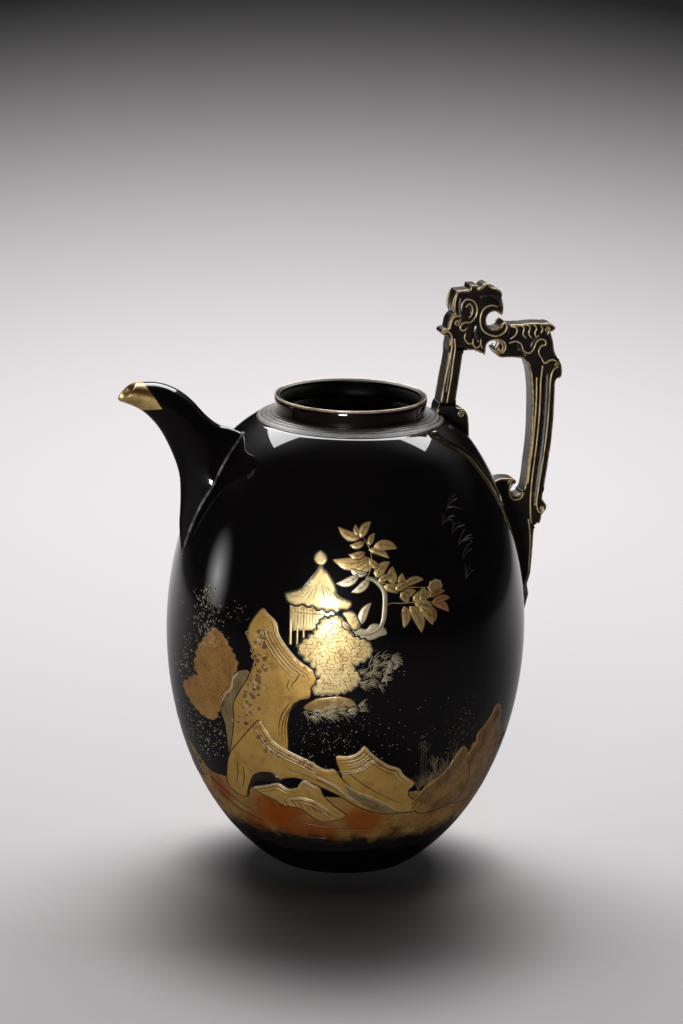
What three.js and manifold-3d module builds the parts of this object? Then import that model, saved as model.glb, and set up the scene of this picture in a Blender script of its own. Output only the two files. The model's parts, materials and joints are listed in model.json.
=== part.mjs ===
// Lacquered wooden ewer: a turned ovoid body with an open collared mouth, a curved spout
// carved from two halves, and a carved openwork scroll handle.
// Millimetres, +Z up. The spout points to -X and the handle to +X. Z is 0 on the table.
import * as THREE from "three";
import { mergeVertices } from "three/addons/utils/BufferGeometryUtils.js";
import Module from "manifold-3d";

const wasm = await Module();
wasm.setup();

// Clearances
const clearance = 0.3; // between glued curved or cut faces
const turns = 48; // facets round every turned piece, so that their flats line up

// Turned body
const bodyRadius = 82.4; // at the widest place
const bodyHalfHeight = 118.9; // of the whole ovoid, before its ends are cut
const footCut = 8.9; // how much of the ovoid is cut off for the flat underside
const bodyMiddle = bodyHalfHeight - footCut; // the widest place, where the two halves meet
const wall = 4.6;
const lapHeight = 6; // of the joint between the two halves
const topCut = 21.5; // how much of the ovoid is cut off for the moulding
const shellTop = bodyMiddle + bodyHalfHeight - topCut;
const shoulderDrop = 13.4; // over this height the ovoid flattens towards the neck
const shoulderStart = shellTop - shoulderDrop;
const shoulderPull = 0.55; // how far up the ovoid's own slope is kept, as a share
const neckLand = 4.4; // depth of the thick land round the neck hole

// Bottom
const footHole = 22; // radius of the hole under the base board
const boardRadius = 25.7;
const boardRecess = 1.2; // the board's underside stands this far above the table
const ledgeHeight = 3; // top of the ledge that carries the board
const boardTop = 6;

// Mouth
const mouthRadius = 31.7;
const collarRadius = mouthRadius + 3.1;
const collarWaist = 0.5; // how far the collar draws in at its foot
const collarHeight = 7.1;
const collarSpigot = mouthRadius + 1.7; // outer radius of its spigot
const spigotDepth = 4.2;
const rimHeight = 1.1;
const neckHole = mouthRadius + 6.1; // radius of the hole in the shell for the moulding
const mouldingEdge = neckHole + 5.1; // outer radius of the moulding
const mouldingHeight = 2.6; // from the shell's flat top to the collar's foot
const mouldingDepth = 4.2; // how far its spigot goes into the neck
const ridgeCount = 3;
const ridgeHeight = 0.7;
const collarFoot = shellTop + mouldingHeight;
const rimFoot = collarFoot + collarHeight;

// Spout, in the middle plane, measured out from the body's side and up from its widest place:
// the upper and the lower line, both from inside the body to the lip.
const spoutUpper = [[-48.4, 76], [-36.4, 87], [-27.4, 93.8], [-20.4, 96.6], [-14.2, 101.6],
  [-7.1, 109.2], [0.2, 114.4], [8.6, 117.2], [18.5, 117.4]];
const spoutLower = [[-28.4, 30], [-14.4, 40], [-5, 54], [-3.7, 66], [-2.5, 76],
  [2, 87.5], [8.2, 97.6], [16.6, 105.6], [26.5, 109.8]];
const spoutHalfWidths = [6.4, 7.4, 8.6, 9.4, 9.4, 8.8, 8, 7, 5.6];
const spoutPinch = [0.75, 0.72, 0.66, 0.55, 0.45, 0.32, 0.2, 0.12, 0.05]; // narrower below
const spoutWall = 3;
const spoutBore = 5.4; // radius where it leaves the body
const lipBore = 3.5; // radius at the lip
const boreSides = 16;
const spoutSteps = 18;
const spoutSides = 24;
const tipShare = 0.8; // share of the spout's length where the mouthpiece begins
const boreShare = 0.3; // share of its length where the bore turns square to the body
const tenonRadius = 8.2; // of the tenon that goes through the wall
const tenonReach = 14; // from the bore's turn inwards

// Handle: a carved plate. The front post stands on the shoulder by the moulding, and the back
// post stands off the body's side.
const plateHalf = 5; // half of the handle's thickness
const beamRise = 34.6; // from the collar's foot to the joint between beam and crest
const backStandOff = 2.6; // of the back post's inner edge from the body's widest place
const frontX = mouldingEdge;
const backX = bodyRadius + backStandOff;
const beamLevel = collarFoot + beamRise;
const postFoot = collarFoot + 2.6; // joint between the foot and the front post
const postTop = beamLevel - 6.6; // joint between the front post and the beam
const backTop = beamLevel - 12.2; // joint between the beam and the back post
const heelTop = bodyMiddle + 60.5; // joint between the back post and the heel
const tailTop = bodyMiddle + 43.4; // joint between the heel and the tail
const tailEnd = bodyMiddle + 2.4;
const crestRight = frontX + 29.8; // upright joint between the crest and the beam
const eyeHole = 4; // radius of the round hole in the crest
const knobProud = 0.4; // how far a curl's middle stands out of the plate
const dowelRadius = 2;
const dowelDepth = 7;
const dowelSides = 12;
const farAway = 800; // size of the blocks that cut joints

// Solids

function toSolid(geometry) {
  const bare = geometry.index ? geometry.toNonIndexed() : geometry.clone();
  bare.deleteAttribute("normal");
  bare.deleteAttribute("uv");
  const merged = mergeVertices(bare, 1e-4);
  const mesh = new wasm.Mesh({
    numProp: 3,
    vertProperties: new Float32Array(merged.attributes.position.array),
    triVerts: new Uint32Array(merged.index.array),
  });
  return new wasm.Manifold(mesh);
}

function toGeometry(solid) {
  const mesh = solid.getMesh();
  const geometry = new THREE.BufferGeometry();
  geometry.setAttribute("position", new THREE.BufferAttribute(mesh.vertProperties, 3));
  geometry.setIndex(new THREE.BufferAttribute(mesh.triVerts, 1));
  const flat = geometry.toNonIndexed();
  flat.computeVertexNormals();
  return flat;
}

// A closed profile of [radius, height] points, anticlockwise seen with +Z up, turned round Z.
function turned(profile) {
  const points = profile.map(([r, z]) => new THREE.Vector2(r, z));
  points.push(points[0].clone());
  const geometry = new THREE.LatheGeometry(points, turns);
  geometry.rotateX(Math.PI / 2);
  return toSolid(geometry);
}

function rod(radius, from, to, sides = dowelSides) {
  const start = new THREE.Vector3(...from);
  const run = new THREE.Vector3(...to).sub(start);
  const geometry = new THREE.CylinderGeometry(radius, radius, run.length(), sides);
  geometry.translate(0, run.length() / 2, 0);
  const up = new THREE.Vector3(0, 1, 0);
  geometry.applyQuaternion(new THREE.Quaternion().setFromUnitVectors(up, run.normalize()));
  geometry.translate(start.x, start.y, start.z);
  return toSolid(geometry);
}

// A large block with one face at a given place on one axis, filling the side that sign names.
function blockFrom(axis, place, sign) {
  const geometry = new THREE.BoxGeometry(farAway, farAway, farAway);
  const centre = { x: 0, y: 0, z: 0, [axis]: place + (sign * farAway) / 2 };
  geometry.translate(centre.x, centre.y, centre.z);
  return toSolid(geometry);
}

const above = (z) => blockFrom("z", z, 1);
const below = (z) => blockFrom("z", z, -1);
const rightOf = (x) => blockFrom("x", x, 1);
const leftOf = (x) => blockFrom("x", x, -1);

function evenly(from, to, steps) {
  return Array.from({ length: steps + 1 }, (_, i) => from + ((to - from) * i) / steps);
}

// Body

function ovoidRadius(z, inset = 0) {
  const share = (z - bodyMiddle) / (bodyHalfHeight - inset);
  return (bodyRadius - inset) * Math.sqrt(1 - share * share);
}

function ovoidLine(from, to, steps, inset = 0) {
  return evenly(from, to, steps).map((z) => [ovoidRadius(z, inset), z]);
}

// The shoulder leaves the ovoid along its slope and flattens towards the moulding.
function shoulderLine(steps) {
  const start = ovoidRadius(shoulderStart);
  const rise = shellTop - shoulderStart;
  const slope = (-((bodyRadius / bodyHalfHeight) ** 2) * (shoulderStart - bodyMiddle)) / start;
  const curve = new THREE.QuadraticBezierCurve(
    new THREE.Vector2(start, shoulderStart),
    new THREE.Vector2(start + slope * shoulderPull * rise, shoulderStart + shoulderPull * rise),
    new THREE.Vector2(mouldingEdge + clearance, shellTop));
  return curve.getPoints(steps).map((p) => [p.x, p.y]);
}

function lowerShell() {
  const lap = bodyRadius - wall / 2;
  return turned([
    [footHole, 0],
    ...ovoidLine(0, bodyMiddle, 13),
    [lap, bodyMiddle],
    [lap, bodyMiddle + lapHeight],
    ...ovoidLine(bodyMiddle + lapHeight, boardTop, 9, wall),
    [boardRadius + clearance, boardTop],
    [boardRadius + clearance, ledgeHeight],
    [footHole, ledgeHeight],
  ]);
}

function upperShell() {
  const lap = bodyRadius - wall / 2 + clearance;
  const lapTop = bodyMiddle + lapHeight + clearance;
  return turned([
    [lap, bodyMiddle],
    ...ovoidLine(bodyMiddle, shoulderStart, 9).slice(0, -1),
    ...shoulderLine(4),
    [neckHole, shellTop],
    [neckHole, shellTop - neckLand],
    ...ovoidLine(shoulderStart + wall, lapTop, 7, wall),
    [lap, lapTop],
  ]);
}

function baseBoard() {
  const plug = footHole - clearance;
  return turned([
    [0, boardRecess],
    [plug, boardRecess],
    [plug, ledgeHeight],
    [boardRadius, ledgeHeight],
    [boardRadius, boardTop],
    [0, boardTop],
  ]);
}

// Fine ridges rise in steps from the moulding's edge to the collar's foot.
function shoulderRing() {
  const seat = collarRadius + 0.8;
  const pitch = (mouldingEdge - seat) / ridgeCount;
  const lift = (mouldingHeight - ridgeHeight) / ridgeCount;
  const ridges = evenly(0, ridgeCount - 1, ridgeCount - 1).flatMap((i) => {
    const edge = mouldingEdge - i * pitch;
    const level = shellTop + ridgeHeight + (i + 1) * lift;
    return [[edge, level - ridgeHeight], [edge - pitch * 0.25, level],
      [edge - pitch * 0.6, level], [edge - pitch * 0.9, level - ridgeHeight * 0.6]];
  });
  const spigot = neckHole - clearance;
  return turned([
    [mouthRadius, shellTop - mouldingDepth],
    [spigot, shellTop - mouldingDepth],
    [spigot, shellTop],
    [mouldingEdge, shellTop],
    ...ridges,
    [seat, collarFoot],
    [collarSpigot + clearance, collarFoot],
    [collarSpigot + clearance, collarFoot - spigotDepth],
    [mouthRadius, collarFoot - spigotDepth],
  ]);
}

function mouthCollar() {
  return turned([
    [mouthRadius, collarFoot - spigotDepth],
    [collarSpigot, collarFoot - spigotDepth],
    [collarSpigot, collarFoot],
    [collarRadius - collarWaist, collarFoot],
    [collarRadius, collarFoot + collarHeight / 3],
    [collarRadius, rimFoot],
    [mouthRadius, rimFoot],
  ]);
}

function mouthRim() {
  const middle = (collarRadius + mouthRadius) / 2;
  const flat = (collarRadius - mouthRadius) / 4;
  return turned([
    [mouthRadius, rimFoot],
    [collarRadius, rimFoot],
    [collarRadius, rimFoot + rimHeight / 2],
    [middle + flat, rimFoot + rimHeight],
    [middle - flat, rimFoot + rimHeight],
    [mouthRadius, rimFoot + rimHeight / 2],
  ]);
}

// The body's outside grown by the clearance: what sits on the body is cut back to it.
function bodyCutter() {
  const grown = [...ovoidLine(0, shoulderStart, 22).slice(0, -1), ...shoulderLine(4)].map(
    ([r, z]) => [r + clearance, z]);
  const top = collarFoot + clearance;
  return turned([[0, 0], ...grown, [mouldingEdge + clearance, top], [0, top]]);
}

const bodyRoom = bodyCutter();

// Spout

function spoutLine(points) {
  return new THREE.SplineCurve(
    points.map(([out, up]) => new THREE.Vector2(-bodyRadius - out, bodyMiddle + up)));
}

const upperLine = spoutLine(spoutUpper);
const lowerLine = spoutLine(spoutLower);

function valueAt(values, share) {
  const place = share * (values.length - 1);
  const before = Math.min(Math.floor(place), values.length - 2);
  return THREE.MathUtils.lerp(values[before], values[before + 1], place - before);
}

function around(sides) {
  return Array.from({ length: sides }, (_, i) => (i / sides) * 2 * Math.PI);
}

// One ring of the spout's outside: widest near its upper line, pinched towards the lower one.
function spoutRing(share) {
  const top = upperLine.getPoint(share);
  const bottom = lowerLine.getPoint(share);
  const half = valueAt(spoutHalfWidths, share);
  const pinch = valueAt(spoutPinch, share);
  return around(spoutSides).map((turn) => {
    const up = (1 + Math.cos(turn)) / 2;
    const side = half * Math.sin(turn) * (1 - pinch * (1 - up));
    return new THREE.Vector3(
      THREE.MathUtils.lerp(bottom.x, top.x, up), side,
      THREE.MathUtils.lerp(bottom.y, top.y, up));
  });
}

// The bore keeps the wall under the upper line near the body and runs central at the lip.
function boreCentre(share) {
  const top = upperLine.getPoint(share);
  const bottom = lowerLine.getPoint(share);
  const across = top.clone().sub(bottom).normalize();
  const underTop = top.clone().addScaledVector(across, -spoutWall - boreRadius(share));
  return bottom.clone().add(top).multiplyScalar(0.5).lerp(underTop, 1 - share);
}

function boreRadius(share) {
  return THREE.MathUtils.lerp(spoutBore, lipBore, share);
}

function boreRing(share) {
  const across = upperLine.getPoint(share).sub(lowerLine.getPoint(share)).normalize();
  const centre = boreCentre(share);
  const radius = boreRadius(share);
  return around(boreSides).map((turn) => {
    const up = Math.cos(turn) * radius;
    return new THREE.Vector3(
      centre.x + across.x * up, Math.sin(turn) * radius, centre.y + across.y * up);
  });
}

// Rings with equal counts of points, joined by a skin and closed by a flat fan at each end.
function loft(rings) {
  const sides = rings[0].length;
  const middleOf = (ring) =>
    ring.reduce((sum, p) => sum.add(p), new THREE.Vector3()).divideScalar(sides);
  const points = [...rings.flat(), middleOf(rings[0]), middleOf(rings.at(-1))];
  const last = (rings.length - 1) * sides;
  const firstMiddle = rings.length * sides;
  const faces = [];
  for (let i = 0; i < sides; i++) {
    const next = (i + 1) % sides;
    for (let start = 0; start < last; start += sides) {
      faces.push(start + i, start + next, start + sides + next);
      faces.push(start + i, start + sides + next, start + sides + i);
    }
    faces.push(firstMiddle, next, i);
    faces.push(firstMiddle + 1, last + i, last + next);
  }
  const geometry = new THREE.BufferGeometry().setFromPoints(points);
  geometry.setIndex(faces);
  const solid = toSolid(geometry);
  if (solid.volume() > 0) {
    return solid;
  }
  geometry.setIndex([...faces].reverse());
  return toSolid(geometry);
}

// The bore meets the body square to its wall, and the tenon has the same line.
const boreTurn = boreCentre(boreShare);
const outOfWall = new THREE.Vector2(
  boreTurn.x / bodyRadius ** 2, (boreTurn.y - bodyMiddle) / bodyHalfHeight ** 2).normalize();

function rodAlongTenon(radius, reach) {
  const inside = boreTurn.clone().addScaledVector(outOfWall, -reach);
  return rod(radius, [inside.x, 0, inside.y], [boreTurn.x, 0, boreTurn.y], boreSides);
}

function spoutBoreSolid() {
  const beyondLip = boreRing(1).map((p) => p.clone().add(new THREE.Vector3(-3, 0, 3)));
  const channel = loft([...evenly(boreShare, 1, 14).map(boreRing), beyondLip]);
  return channel.add(rodAlongTenon(spoutBore, tenonReach * 2));
}

const bore = spoutBoreSolid();

// The mouthpiece's room: everything past a ring of the spout.
function pastRing(share, gap) {
  const ring = (place, push) => {
    const top = upperLine.getPoint(place);
    const bottom = lowerLine.getPoint(place);
    const across = top.clone().sub(bottom);
    const along = new THREE.Vector2(-across.y, across.x).normalize().multiplyScalar(push);
    const high = top.clone().add(across).add(along);
    const low = bottom.clone().sub(across).add(along);
    const side = spoutHalfWidths[0] * 2;
    return [[high, side], [high, -side], [low, -side], [low, side]].map(
      ([p, y]) => new THREE.Vector3(p.x, y, p.y));
  };
  return loft([ring(share, gap), ring(1, boardRadius)]);
}

const spoutWood = loft(evenly(0, 1, spoutSteps).map(spoutRing));
const spoutOutside = spoutWood.subtract(bodyRoom.subtract(rodAlongTenon(tenonRadius, tenonReach)));

function spoutHalf(sign) {
  return spoutOutside
    .subtract(pastRing(tipShare, 0))
    .subtract(bore)
    .intersect(blockFrom("y", 0, sign));
}

function spoutTip() {
  return spoutWood.intersect(pastRing(tipShare, clearance)).subtract(bore);
}

// Handle

// Moves outline steps so that their numbers are measured from a place on the handle.
function from(x, z, steps) {
  return steps.map((step) => step.map((value, i) => value + (i % 2 ? z : x)));
}

// A plate in the middle plane. A step of two numbers is a straight line to [x, z], and one of
// four is a curve, its first two numbers being the point that it bends towards.
function plate(outline) {
  const shape = new THREE.Shape();
  shape.moveTo(...outline[0]);
  for (const step of outline.slice(1)) {
    if (step.length === 2) shape.lineTo(...step);
    else shape.quadraticCurveTo(...step);
  }
  const geometry = new THREE.ExtrudeGeometry(shape, {
    depth: 2 * plateHalf,
    bevelEnabled: false,
    curveSegments: 4,
  });
  geometry.translate(0, 0, -plateHalf);
  geometry.rotateX(Math.PI / 2);
  return toSolid(geometry);
}

// The round middle of a scroll, across the plate.
function curl(x, z, radius, proud = knobProud) {
  const reach = plateHalf + proud;
  return rod(radius, [x, reach, z], [x, -reach, z], 16);
}

function frontFoot() {
  return plate([
    ...from(frontX, postFoot, [[-3.7, -12], [-3.6, -3], [-3.2, -1.4, -2, 1], [5.6, 1],
      [5.7, -1.8], [6.8, -1.6, 8.6, -2], [11.4, -3.2, 12, -6.6], [12.6, -12, 12.8, -20],
      [3, -20]])])
    .add(curl(frontX + 8.4, postFoot - 4.4, 2.2))
    .intersect(below(postFoot))
    .subtract(bodyRoom);
}

function frontPost() {
  return plate([
    ...from(frontX, postFoot, [[-2.1, -2], [-0.3, 10, 0.8, 18]]),
    ...from(frontX, postTop, [[1.9, 2], [8.8, 2]]),
    ...from(frontX, postFoot, [[7.4, 14, 5.4, -2]])])
    .intersect(above(postFoot))
    .intersect(below(postTop));
}

function crossbeam() {
  const shoulder = from(frontX, beamLevel, [[1.6, -7.6], [2, 0], [29.8, 0], [29.8, 4.4]]);
  const leafEnd = from(backX, beamLevel, [[-6, 4.2], [0, 5, 5, 4.3], [8.6, 5, 10.4, 2],
    [10.2, 0.6, 8, 0.2], [9.6, -3.6, 10, -8], [11, -10.6, 12, -14], [-3.6, -14],
    [-3.6, -12.2], [-7, -11.2, -11, -11]]);
  const scrollNotch = from(frontX, beamLevel, [[27.1, -11], [24.1, -10.4, 23.3, -6.8],
    [24.1, -6, 24.8, -7.2], [25.7, -8.8, 27.1, -8], [28.3, -7, 28.1, -5.2],
    [27.5, -2.8, 23.7, -2.8], [19.7, -2.8, 19.4, -6], [19.2, -9.6]]);
  const scallops = from(frontX, beamLevel, [[17.7, -8.6], [15.9, -8.4, 15.9, -7.8],
    [14.1, -7.6, 14.1, -7]]);
  return plate([...shoulder, ...leafEnd, ...scrollNotch, ...scallops])
    .add(curl(backX + 6.4, beamLevel + 1.4, 1.7))
    .subtract(below(postTop).intersect(leftOf(frontX + 12)))
    .subtract(below(backTop).intersect(rightOf(backX - 8)));
}

function crest() {
  return plate([
    ...from(frontX, beamLevel, [[2, -1], [1.9, 0.1], [0.9, 0, -0.5, 0.3], [-2.3, 0.8, -1.9, 2.2],
      [-1.1, 3.6, 0.7, 3.3], [1.2, 5.8], [1.7, 9, 4, 10.3], [3.4, 11.4], [2.8, 16, 4.7, 20.8],
      [10.7, 21.2], [11.1, 23.3], [14.3, 23.3], [14.8, 21.6], [16.3, 21.8, 17.1, 23],
      [18.5, 24.3, 19.7, 23.6], [20.7, 21.8, 23.3, 21.6], [26.5, 20.4, 26.5, 18.2],
      [26.1, 16.8, 26.7, 15.3], [27.7, 12.4, 27, 9.4], [26.5, 8, 27.3, 6.8],
      [29.8, 6, 29.8, 4], [29.8, -1]])])
    .subtract(curl(frontX + 23.2, beamLevel + 6.6, eyeHole, plateHalf))
    .add(curl(frontX + 5.4, beamLevel + 6, 2.6))
    .intersect(above(beamLevel))
    .intersect(leftOf(crestRight - clearance));
}

function backPost() {
  return plate([
    ...from(backX, heelTop, [[-3, -2], [-1.6, 5, -1.1, 13], [0.4, 25, 0.1, 35]]),
    ...from(backX, backTop, [[0.2, -12, -1.8, -4.4], [-2.8, -1.4, -3.6, 2], [12, 2],
      [14.4, -3, 14.3, -6.4], [14.4, -9.2, 13, -9.4], [11.2, -9.2, 11, -12.4]]),
    ...from(backX, heelTop, [[11.2, 29, 9.4, 17], [8.4, 8, 6.9, -2]])])
    .intersect(above(heelTop))
    .intersect(below(backTop));
}

function heel() {
  return plate([
    ...from(backX, heelTop, [[-24, 2], [-24, 6], [-16.6, 4.9], [-14.4, 6.7, -11, 6.3],
      [-6.8, 6.3, -6.1, 4.5], [-6.2, 3.3, -7.6, 3.2], [-9.6, 2.7, -9.3, 0.7],
      [-8.6, -1.8, -5.8, -1.8], [-3.8, -1.6, -3, 0], [-3, 2], [7, 2]]),
    ...from(backX, tailTop, [[6.6, 13], [7.4, 11.6, 8.6, 10.2], [9.4, 8.2, 7.6, 6.6],
      [6.6, 5.2], [6.4, 2.6, 5.5, 1.2], [3.9, 2, 2.3, 0], [2.2, -2], [-24, -2]])])
    .subtract(above(heelTop).intersect(rightOf(backX - 4.5)))
    .add(curl(backX - 9.6, heelTop + 4.4, 1.5))
    .intersect(above(tailTop))
    .subtract(bodyRoom);
}

// The tail is a leaf on the body's side: it thins to its end, and narrows seen from behind.
function tail() {
  const proudAt = (z, proud) => [ovoidRadius(z) + proud, z];
  const outer = [[tailTop + 2, 11.6], [tailTop - 4, 10.2], [tailTop - 12, 8.2],
    [tailTop - 22, 6], [tailTop - 27.5, 3.9], [tailTop - 32, 4.4], [tailEnd, 1.9]];
  const face = plate([...outer.map(([z, proud]) => proudAt(z, proud)),
    [ovoidRadius(tailEnd) - 8, tailEnd], [ovoidRadius(tailTop) - 12, tailTop + 2]]);
  const leaf = new THREE.Shape();
  const wide = plateHalf + 1;
  const narrow = plateHalf * 0.45;
  leaf.moveTo(-wide, tailTop + 2);
  leaf.lineTo(-wide, tailTop - 16);
  leaf.quadraticCurveTo(-plateHalf, tailEnd + 8, -narrow, tailEnd - 1);
  leaf.lineTo(narrow, tailEnd - 1);
  leaf.quadraticCurveTo(plateHalf, tailEnd + 8, wide, tailTop - 16);
  leaf.lineTo(wide, tailTop + 2);
  const across = new THREE.ExtrudeGeometry(leaf, { depth: farAway, bevelEnabled: false });
  across.rotateX(Math.PI / 2);
  across.rotateZ(Math.PI / 2);
  return face
    .intersect(toSolid(across))
    .intersect(below(tailTop))
    .subtract(bodyRoom);
}

// Dowels. Each runs from its first seat to its second, and both seats are drilled to suit.
const heelDowelHeight = tailTop + 11.6;
const tailDowelHeight = tailTop - 17.4;
const dowelBite = wall * 0.55; // how far a dowel goes into the wall
const dowels = {
  foot_dowel: [[frontX + 3.5, 0, shellTop - 5.8], [frontX + 3.5, 0, postFoot + dowelDepth]],
  post_dowel: [[frontX + 5.1, 0, postTop - dowelDepth], [frontX + 5.1, 0, beamLevel - 1.6]],
  crest_dowel: [[frontX + 13, 0, beamLevel - 4.8], [frontX + 13, 0, beamLevel + dowelDepth]],
  beam_dowel: [[backX + 5, 0, backTop - dowelDepth], [backX + 5, 0, backTop + dowelDepth]],
  heel_post_dowel: [[backX + 2, 0, heelTop - dowelDepth], [backX + 2, 0, heelTop + dowelDepth]],
  heel_dowel: [
    [ovoidRadius(heelDowelHeight) - dowelBite, 0, heelDowelHeight],
    [ovoidRadius(heelDowelHeight) + 9, 0, heelDowelHeight]],
  tail_dowel: [
    [ovoidRadius(tailDowelHeight) - dowelBite, 0, tailDowelHeight],
    [ovoidRadius(tailDowelHeight) + 4.4, 0, tailDowelHeight]],
};

function drilled(solid, ...names) {
  return names.reduce(
    (rest, name) => rest.subtract(rod(dowelRadius + clearance, ...dowels[name])), solid);
}

// Finishes

function finish(color, roughness, metalness) {
  return { color, roughness, metalness };
}

const blackLacquer = finish(0x0b0908, 0.12, 0);
const innerLacquer = finish(0x120a06, 0.35, 0);
const gilt = finish(0xa88a4c, 0.4, 0.85);
const carvedLacquer = finish(0x2a2115, 0.25, 0.2);
const bareWood = finish(0xb08a5c, 0.7, 0);

// Assembly

function upperShellCut() {
  const tenonHole = rodAlongTenon(tenonRadius + clearance, tenonReach * 2);
  return drilled(upperShell().subtract(tenonHole), "heel_dowel", "foot_dowel", "tail_dowel");
}

const pieces = {
  lower_shell: [lowerShell(), blackLacquer],
  upper_shell: [upperShellCut(), blackLacquer],
  base_board: [baseBoard(), blackLacquer],
  shoulder_ring: [shoulderRing(), blackLacquer],
  mouth_collar: [mouthCollar(), innerLacquer],
  mouth_rim: [mouthRim(), gilt],
  spout_near_half: [spoutHalf(-1), blackLacquer],
  spout_far_half: [spoutHalf(1), blackLacquer],
  spout_tip: [spoutTip(), gilt],
  handle_front_foot: [drilled(frontFoot(), "foot_dowel"), blackLacquer],
  handle_front_post: [drilled(frontPost(), "foot_dowel", "post_dowel"), carvedLacquer],
  handle_crossbeam: [drilled(crossbeam(), "post_dowel", "crest_dowel", "beam_dowel"), carvedLacquer],
  handle_crest: [drilled(crest(), "crest_dowel"), carvedLacquer],
  handle_back_post: [drilled(backPost(), "beam_dowel", "heel_post_dowel"), carvedLacquer],
  handle_heel: [drilled(heel(), "heel_post_dowel", "heel_dowel"), carvedLacquer],
  handle_tail: [drilled(tail(), "tail_dowel"), carvedLacquer],
};
for (const [name, [start, end]] of Object.entries(dowels)) {
  pieces[name] = [rod(dowelRadius, start, end), bareWood];
}

const ewer = new THREE.Group();
for (const [name, [solid, look]] of Object.entries(pieces)) {
  const mesh = new THREE.Mesh(toGeometry(solid), new THREE.MeshStandardMaterial(look));
  mesh.name = name;
  ewer.add(mesh);
}

export default ewer;
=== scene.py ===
import json
import math
import random
import bpy
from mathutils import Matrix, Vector, geometry


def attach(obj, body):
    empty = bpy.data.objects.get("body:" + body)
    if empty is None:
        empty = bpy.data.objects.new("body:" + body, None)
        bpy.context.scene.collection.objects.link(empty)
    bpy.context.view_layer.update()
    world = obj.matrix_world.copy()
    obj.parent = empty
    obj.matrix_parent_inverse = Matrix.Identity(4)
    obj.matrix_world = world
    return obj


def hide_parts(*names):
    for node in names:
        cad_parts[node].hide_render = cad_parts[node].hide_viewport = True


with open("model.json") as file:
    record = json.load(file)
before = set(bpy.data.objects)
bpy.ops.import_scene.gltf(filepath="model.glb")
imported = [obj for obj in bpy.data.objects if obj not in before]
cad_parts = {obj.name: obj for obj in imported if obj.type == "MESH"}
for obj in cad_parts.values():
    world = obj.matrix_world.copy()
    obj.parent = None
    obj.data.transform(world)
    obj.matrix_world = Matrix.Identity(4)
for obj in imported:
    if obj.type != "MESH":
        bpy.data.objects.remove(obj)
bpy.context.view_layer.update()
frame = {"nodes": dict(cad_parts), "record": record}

# %% [markdown]
# This lesson dresses a lacquered wooden ewer. The frame that was just loaded is its solid
# model, in metres. Nothing that is made here may stand outside it.

# %% Millimetres
MM = 0.001

# %% [markdown]
# The photograph was taken from far away with a long lens, from a little above, and a
# little to the left of the handle's broad side. A camera 2.6 m away with a 200 mm lens
# gives the same flat view. The ewer stands slightly turned in the picture, so the camera
# is rolled by as much.

# %% The camera
CAMERA_AZIMUTH = math.radians(-16)
CAMERA_RISE = math.radians(13.8)
CAMERA_ROLL = math.radians(1.35)
CAMERA_DISTANCE = 2600 * MM
CAMERA_AIM_HEIGHT = 163 * MM
CAMERA_SIDESTEP = 3 * MM

toward = Vector((math.sin(CAMERA_AZIMUTH), -math.cos(CAMERA_AZIMUTH), 0))
rightward = Vector((math.cos(CAMERA_AZIMUTH), math.sin(CAMERA_AZIMUTH), 0))
upright = Vector((0, 0, 1))


def place_camera():
    back = toward * math.cos(CAMERA_RISE) + upright * math.sin(CAMERA_RISE)
    up = back.cross(rightward)
    tilted_right = rightward * math.cos(CAMERA_ROLL) + up * math.sin(CAMERA_ROLL)
    tilted_up = up * math.cos(CAMERA_ROLL) - rightward * math.sin(CAMERA_ROLL)
    data = bpy.data.cameras.new("camera")
    data.lens = 200
    data.sensor_width = 36
    data.sensor_fit = "AUTO"
    data.clip_end = 60
    camera = bpy.data.objects.new("camera", data)
    bpy.context.scene.collection.objects.link(camera)
    turn = camera.matrix_world.to_3x3()
    for row in range(3):
        turn[row][0] = tilted_right[row]
        turn[row][1] = tilted_up[row]
        turn[row][2] = back[row]
    camera.matrix_world = turn.to_4x4()
    camera.location = (upright * CAMERA_AIM_HEIGHT - rightward * CAMERA_SIDESTEP
                       + back * CAMERA_DISTANCE)
    bpy.context.scene.camera = camera
    return camera


camera = place_camera()
print("camera at", [round(v, 3) for v in camera.location])

# %% [markdown]
# Every finish below is a recipe of shader nodes. Written as nodes a recipe is hard to
# read, so a small class wraps a socket and lets a mask be written as a sum: each operator
# adds the Math node that it stands for. One method makes every other kind of node from
# its type, its settings and what goes into its sockets.

# %% A socket that can be used in a sum


class Signal:
    def __init__(self, recipe, socket):
        self.recipe = recipe
        self.socket = socket

    def math(self, operation, *others):
        values = {i: value for i, value in enumerate((self, *others))}
        return self.recipe.node("Math", {"operation": operation}, values)

    def __add__(self, other):
        return self.math("ADD", other)

    __radd__ = __add__

    def __mul__(self, other):
        return self.math("MULTIPLY", other)

    __rmul__ = __mul__

    def __sub__(self, other):
        return self.math("SUBTRACT", other)

    def __rsub__(self, other):
        return self.recipe.node("Math", {"operation": "SUBTRACT"}, {0: other, 1: self})

    def __truediv__(self, other):
        return self.math("DIVIDE", other)

    def __pow__(self, other):
        return self.math("POWER", other)

    def __neg__(self):
        return self.math("MULTIPLY", -1.0)

    def above(self, edge, softness):
        """1 where the value is above the edge, 0 where it is below, and soft between."""
        ramp = {"interpolation_type": "SMOOTHSTEP"}
        ends = {"Value": self, "From Min": edge - softness, "From Max": edge + softness}
        return self.recipe.node("MapRange", ramp, ends)

    def largest(self, other):
        return self.math("MAXIMUM", other)


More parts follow.
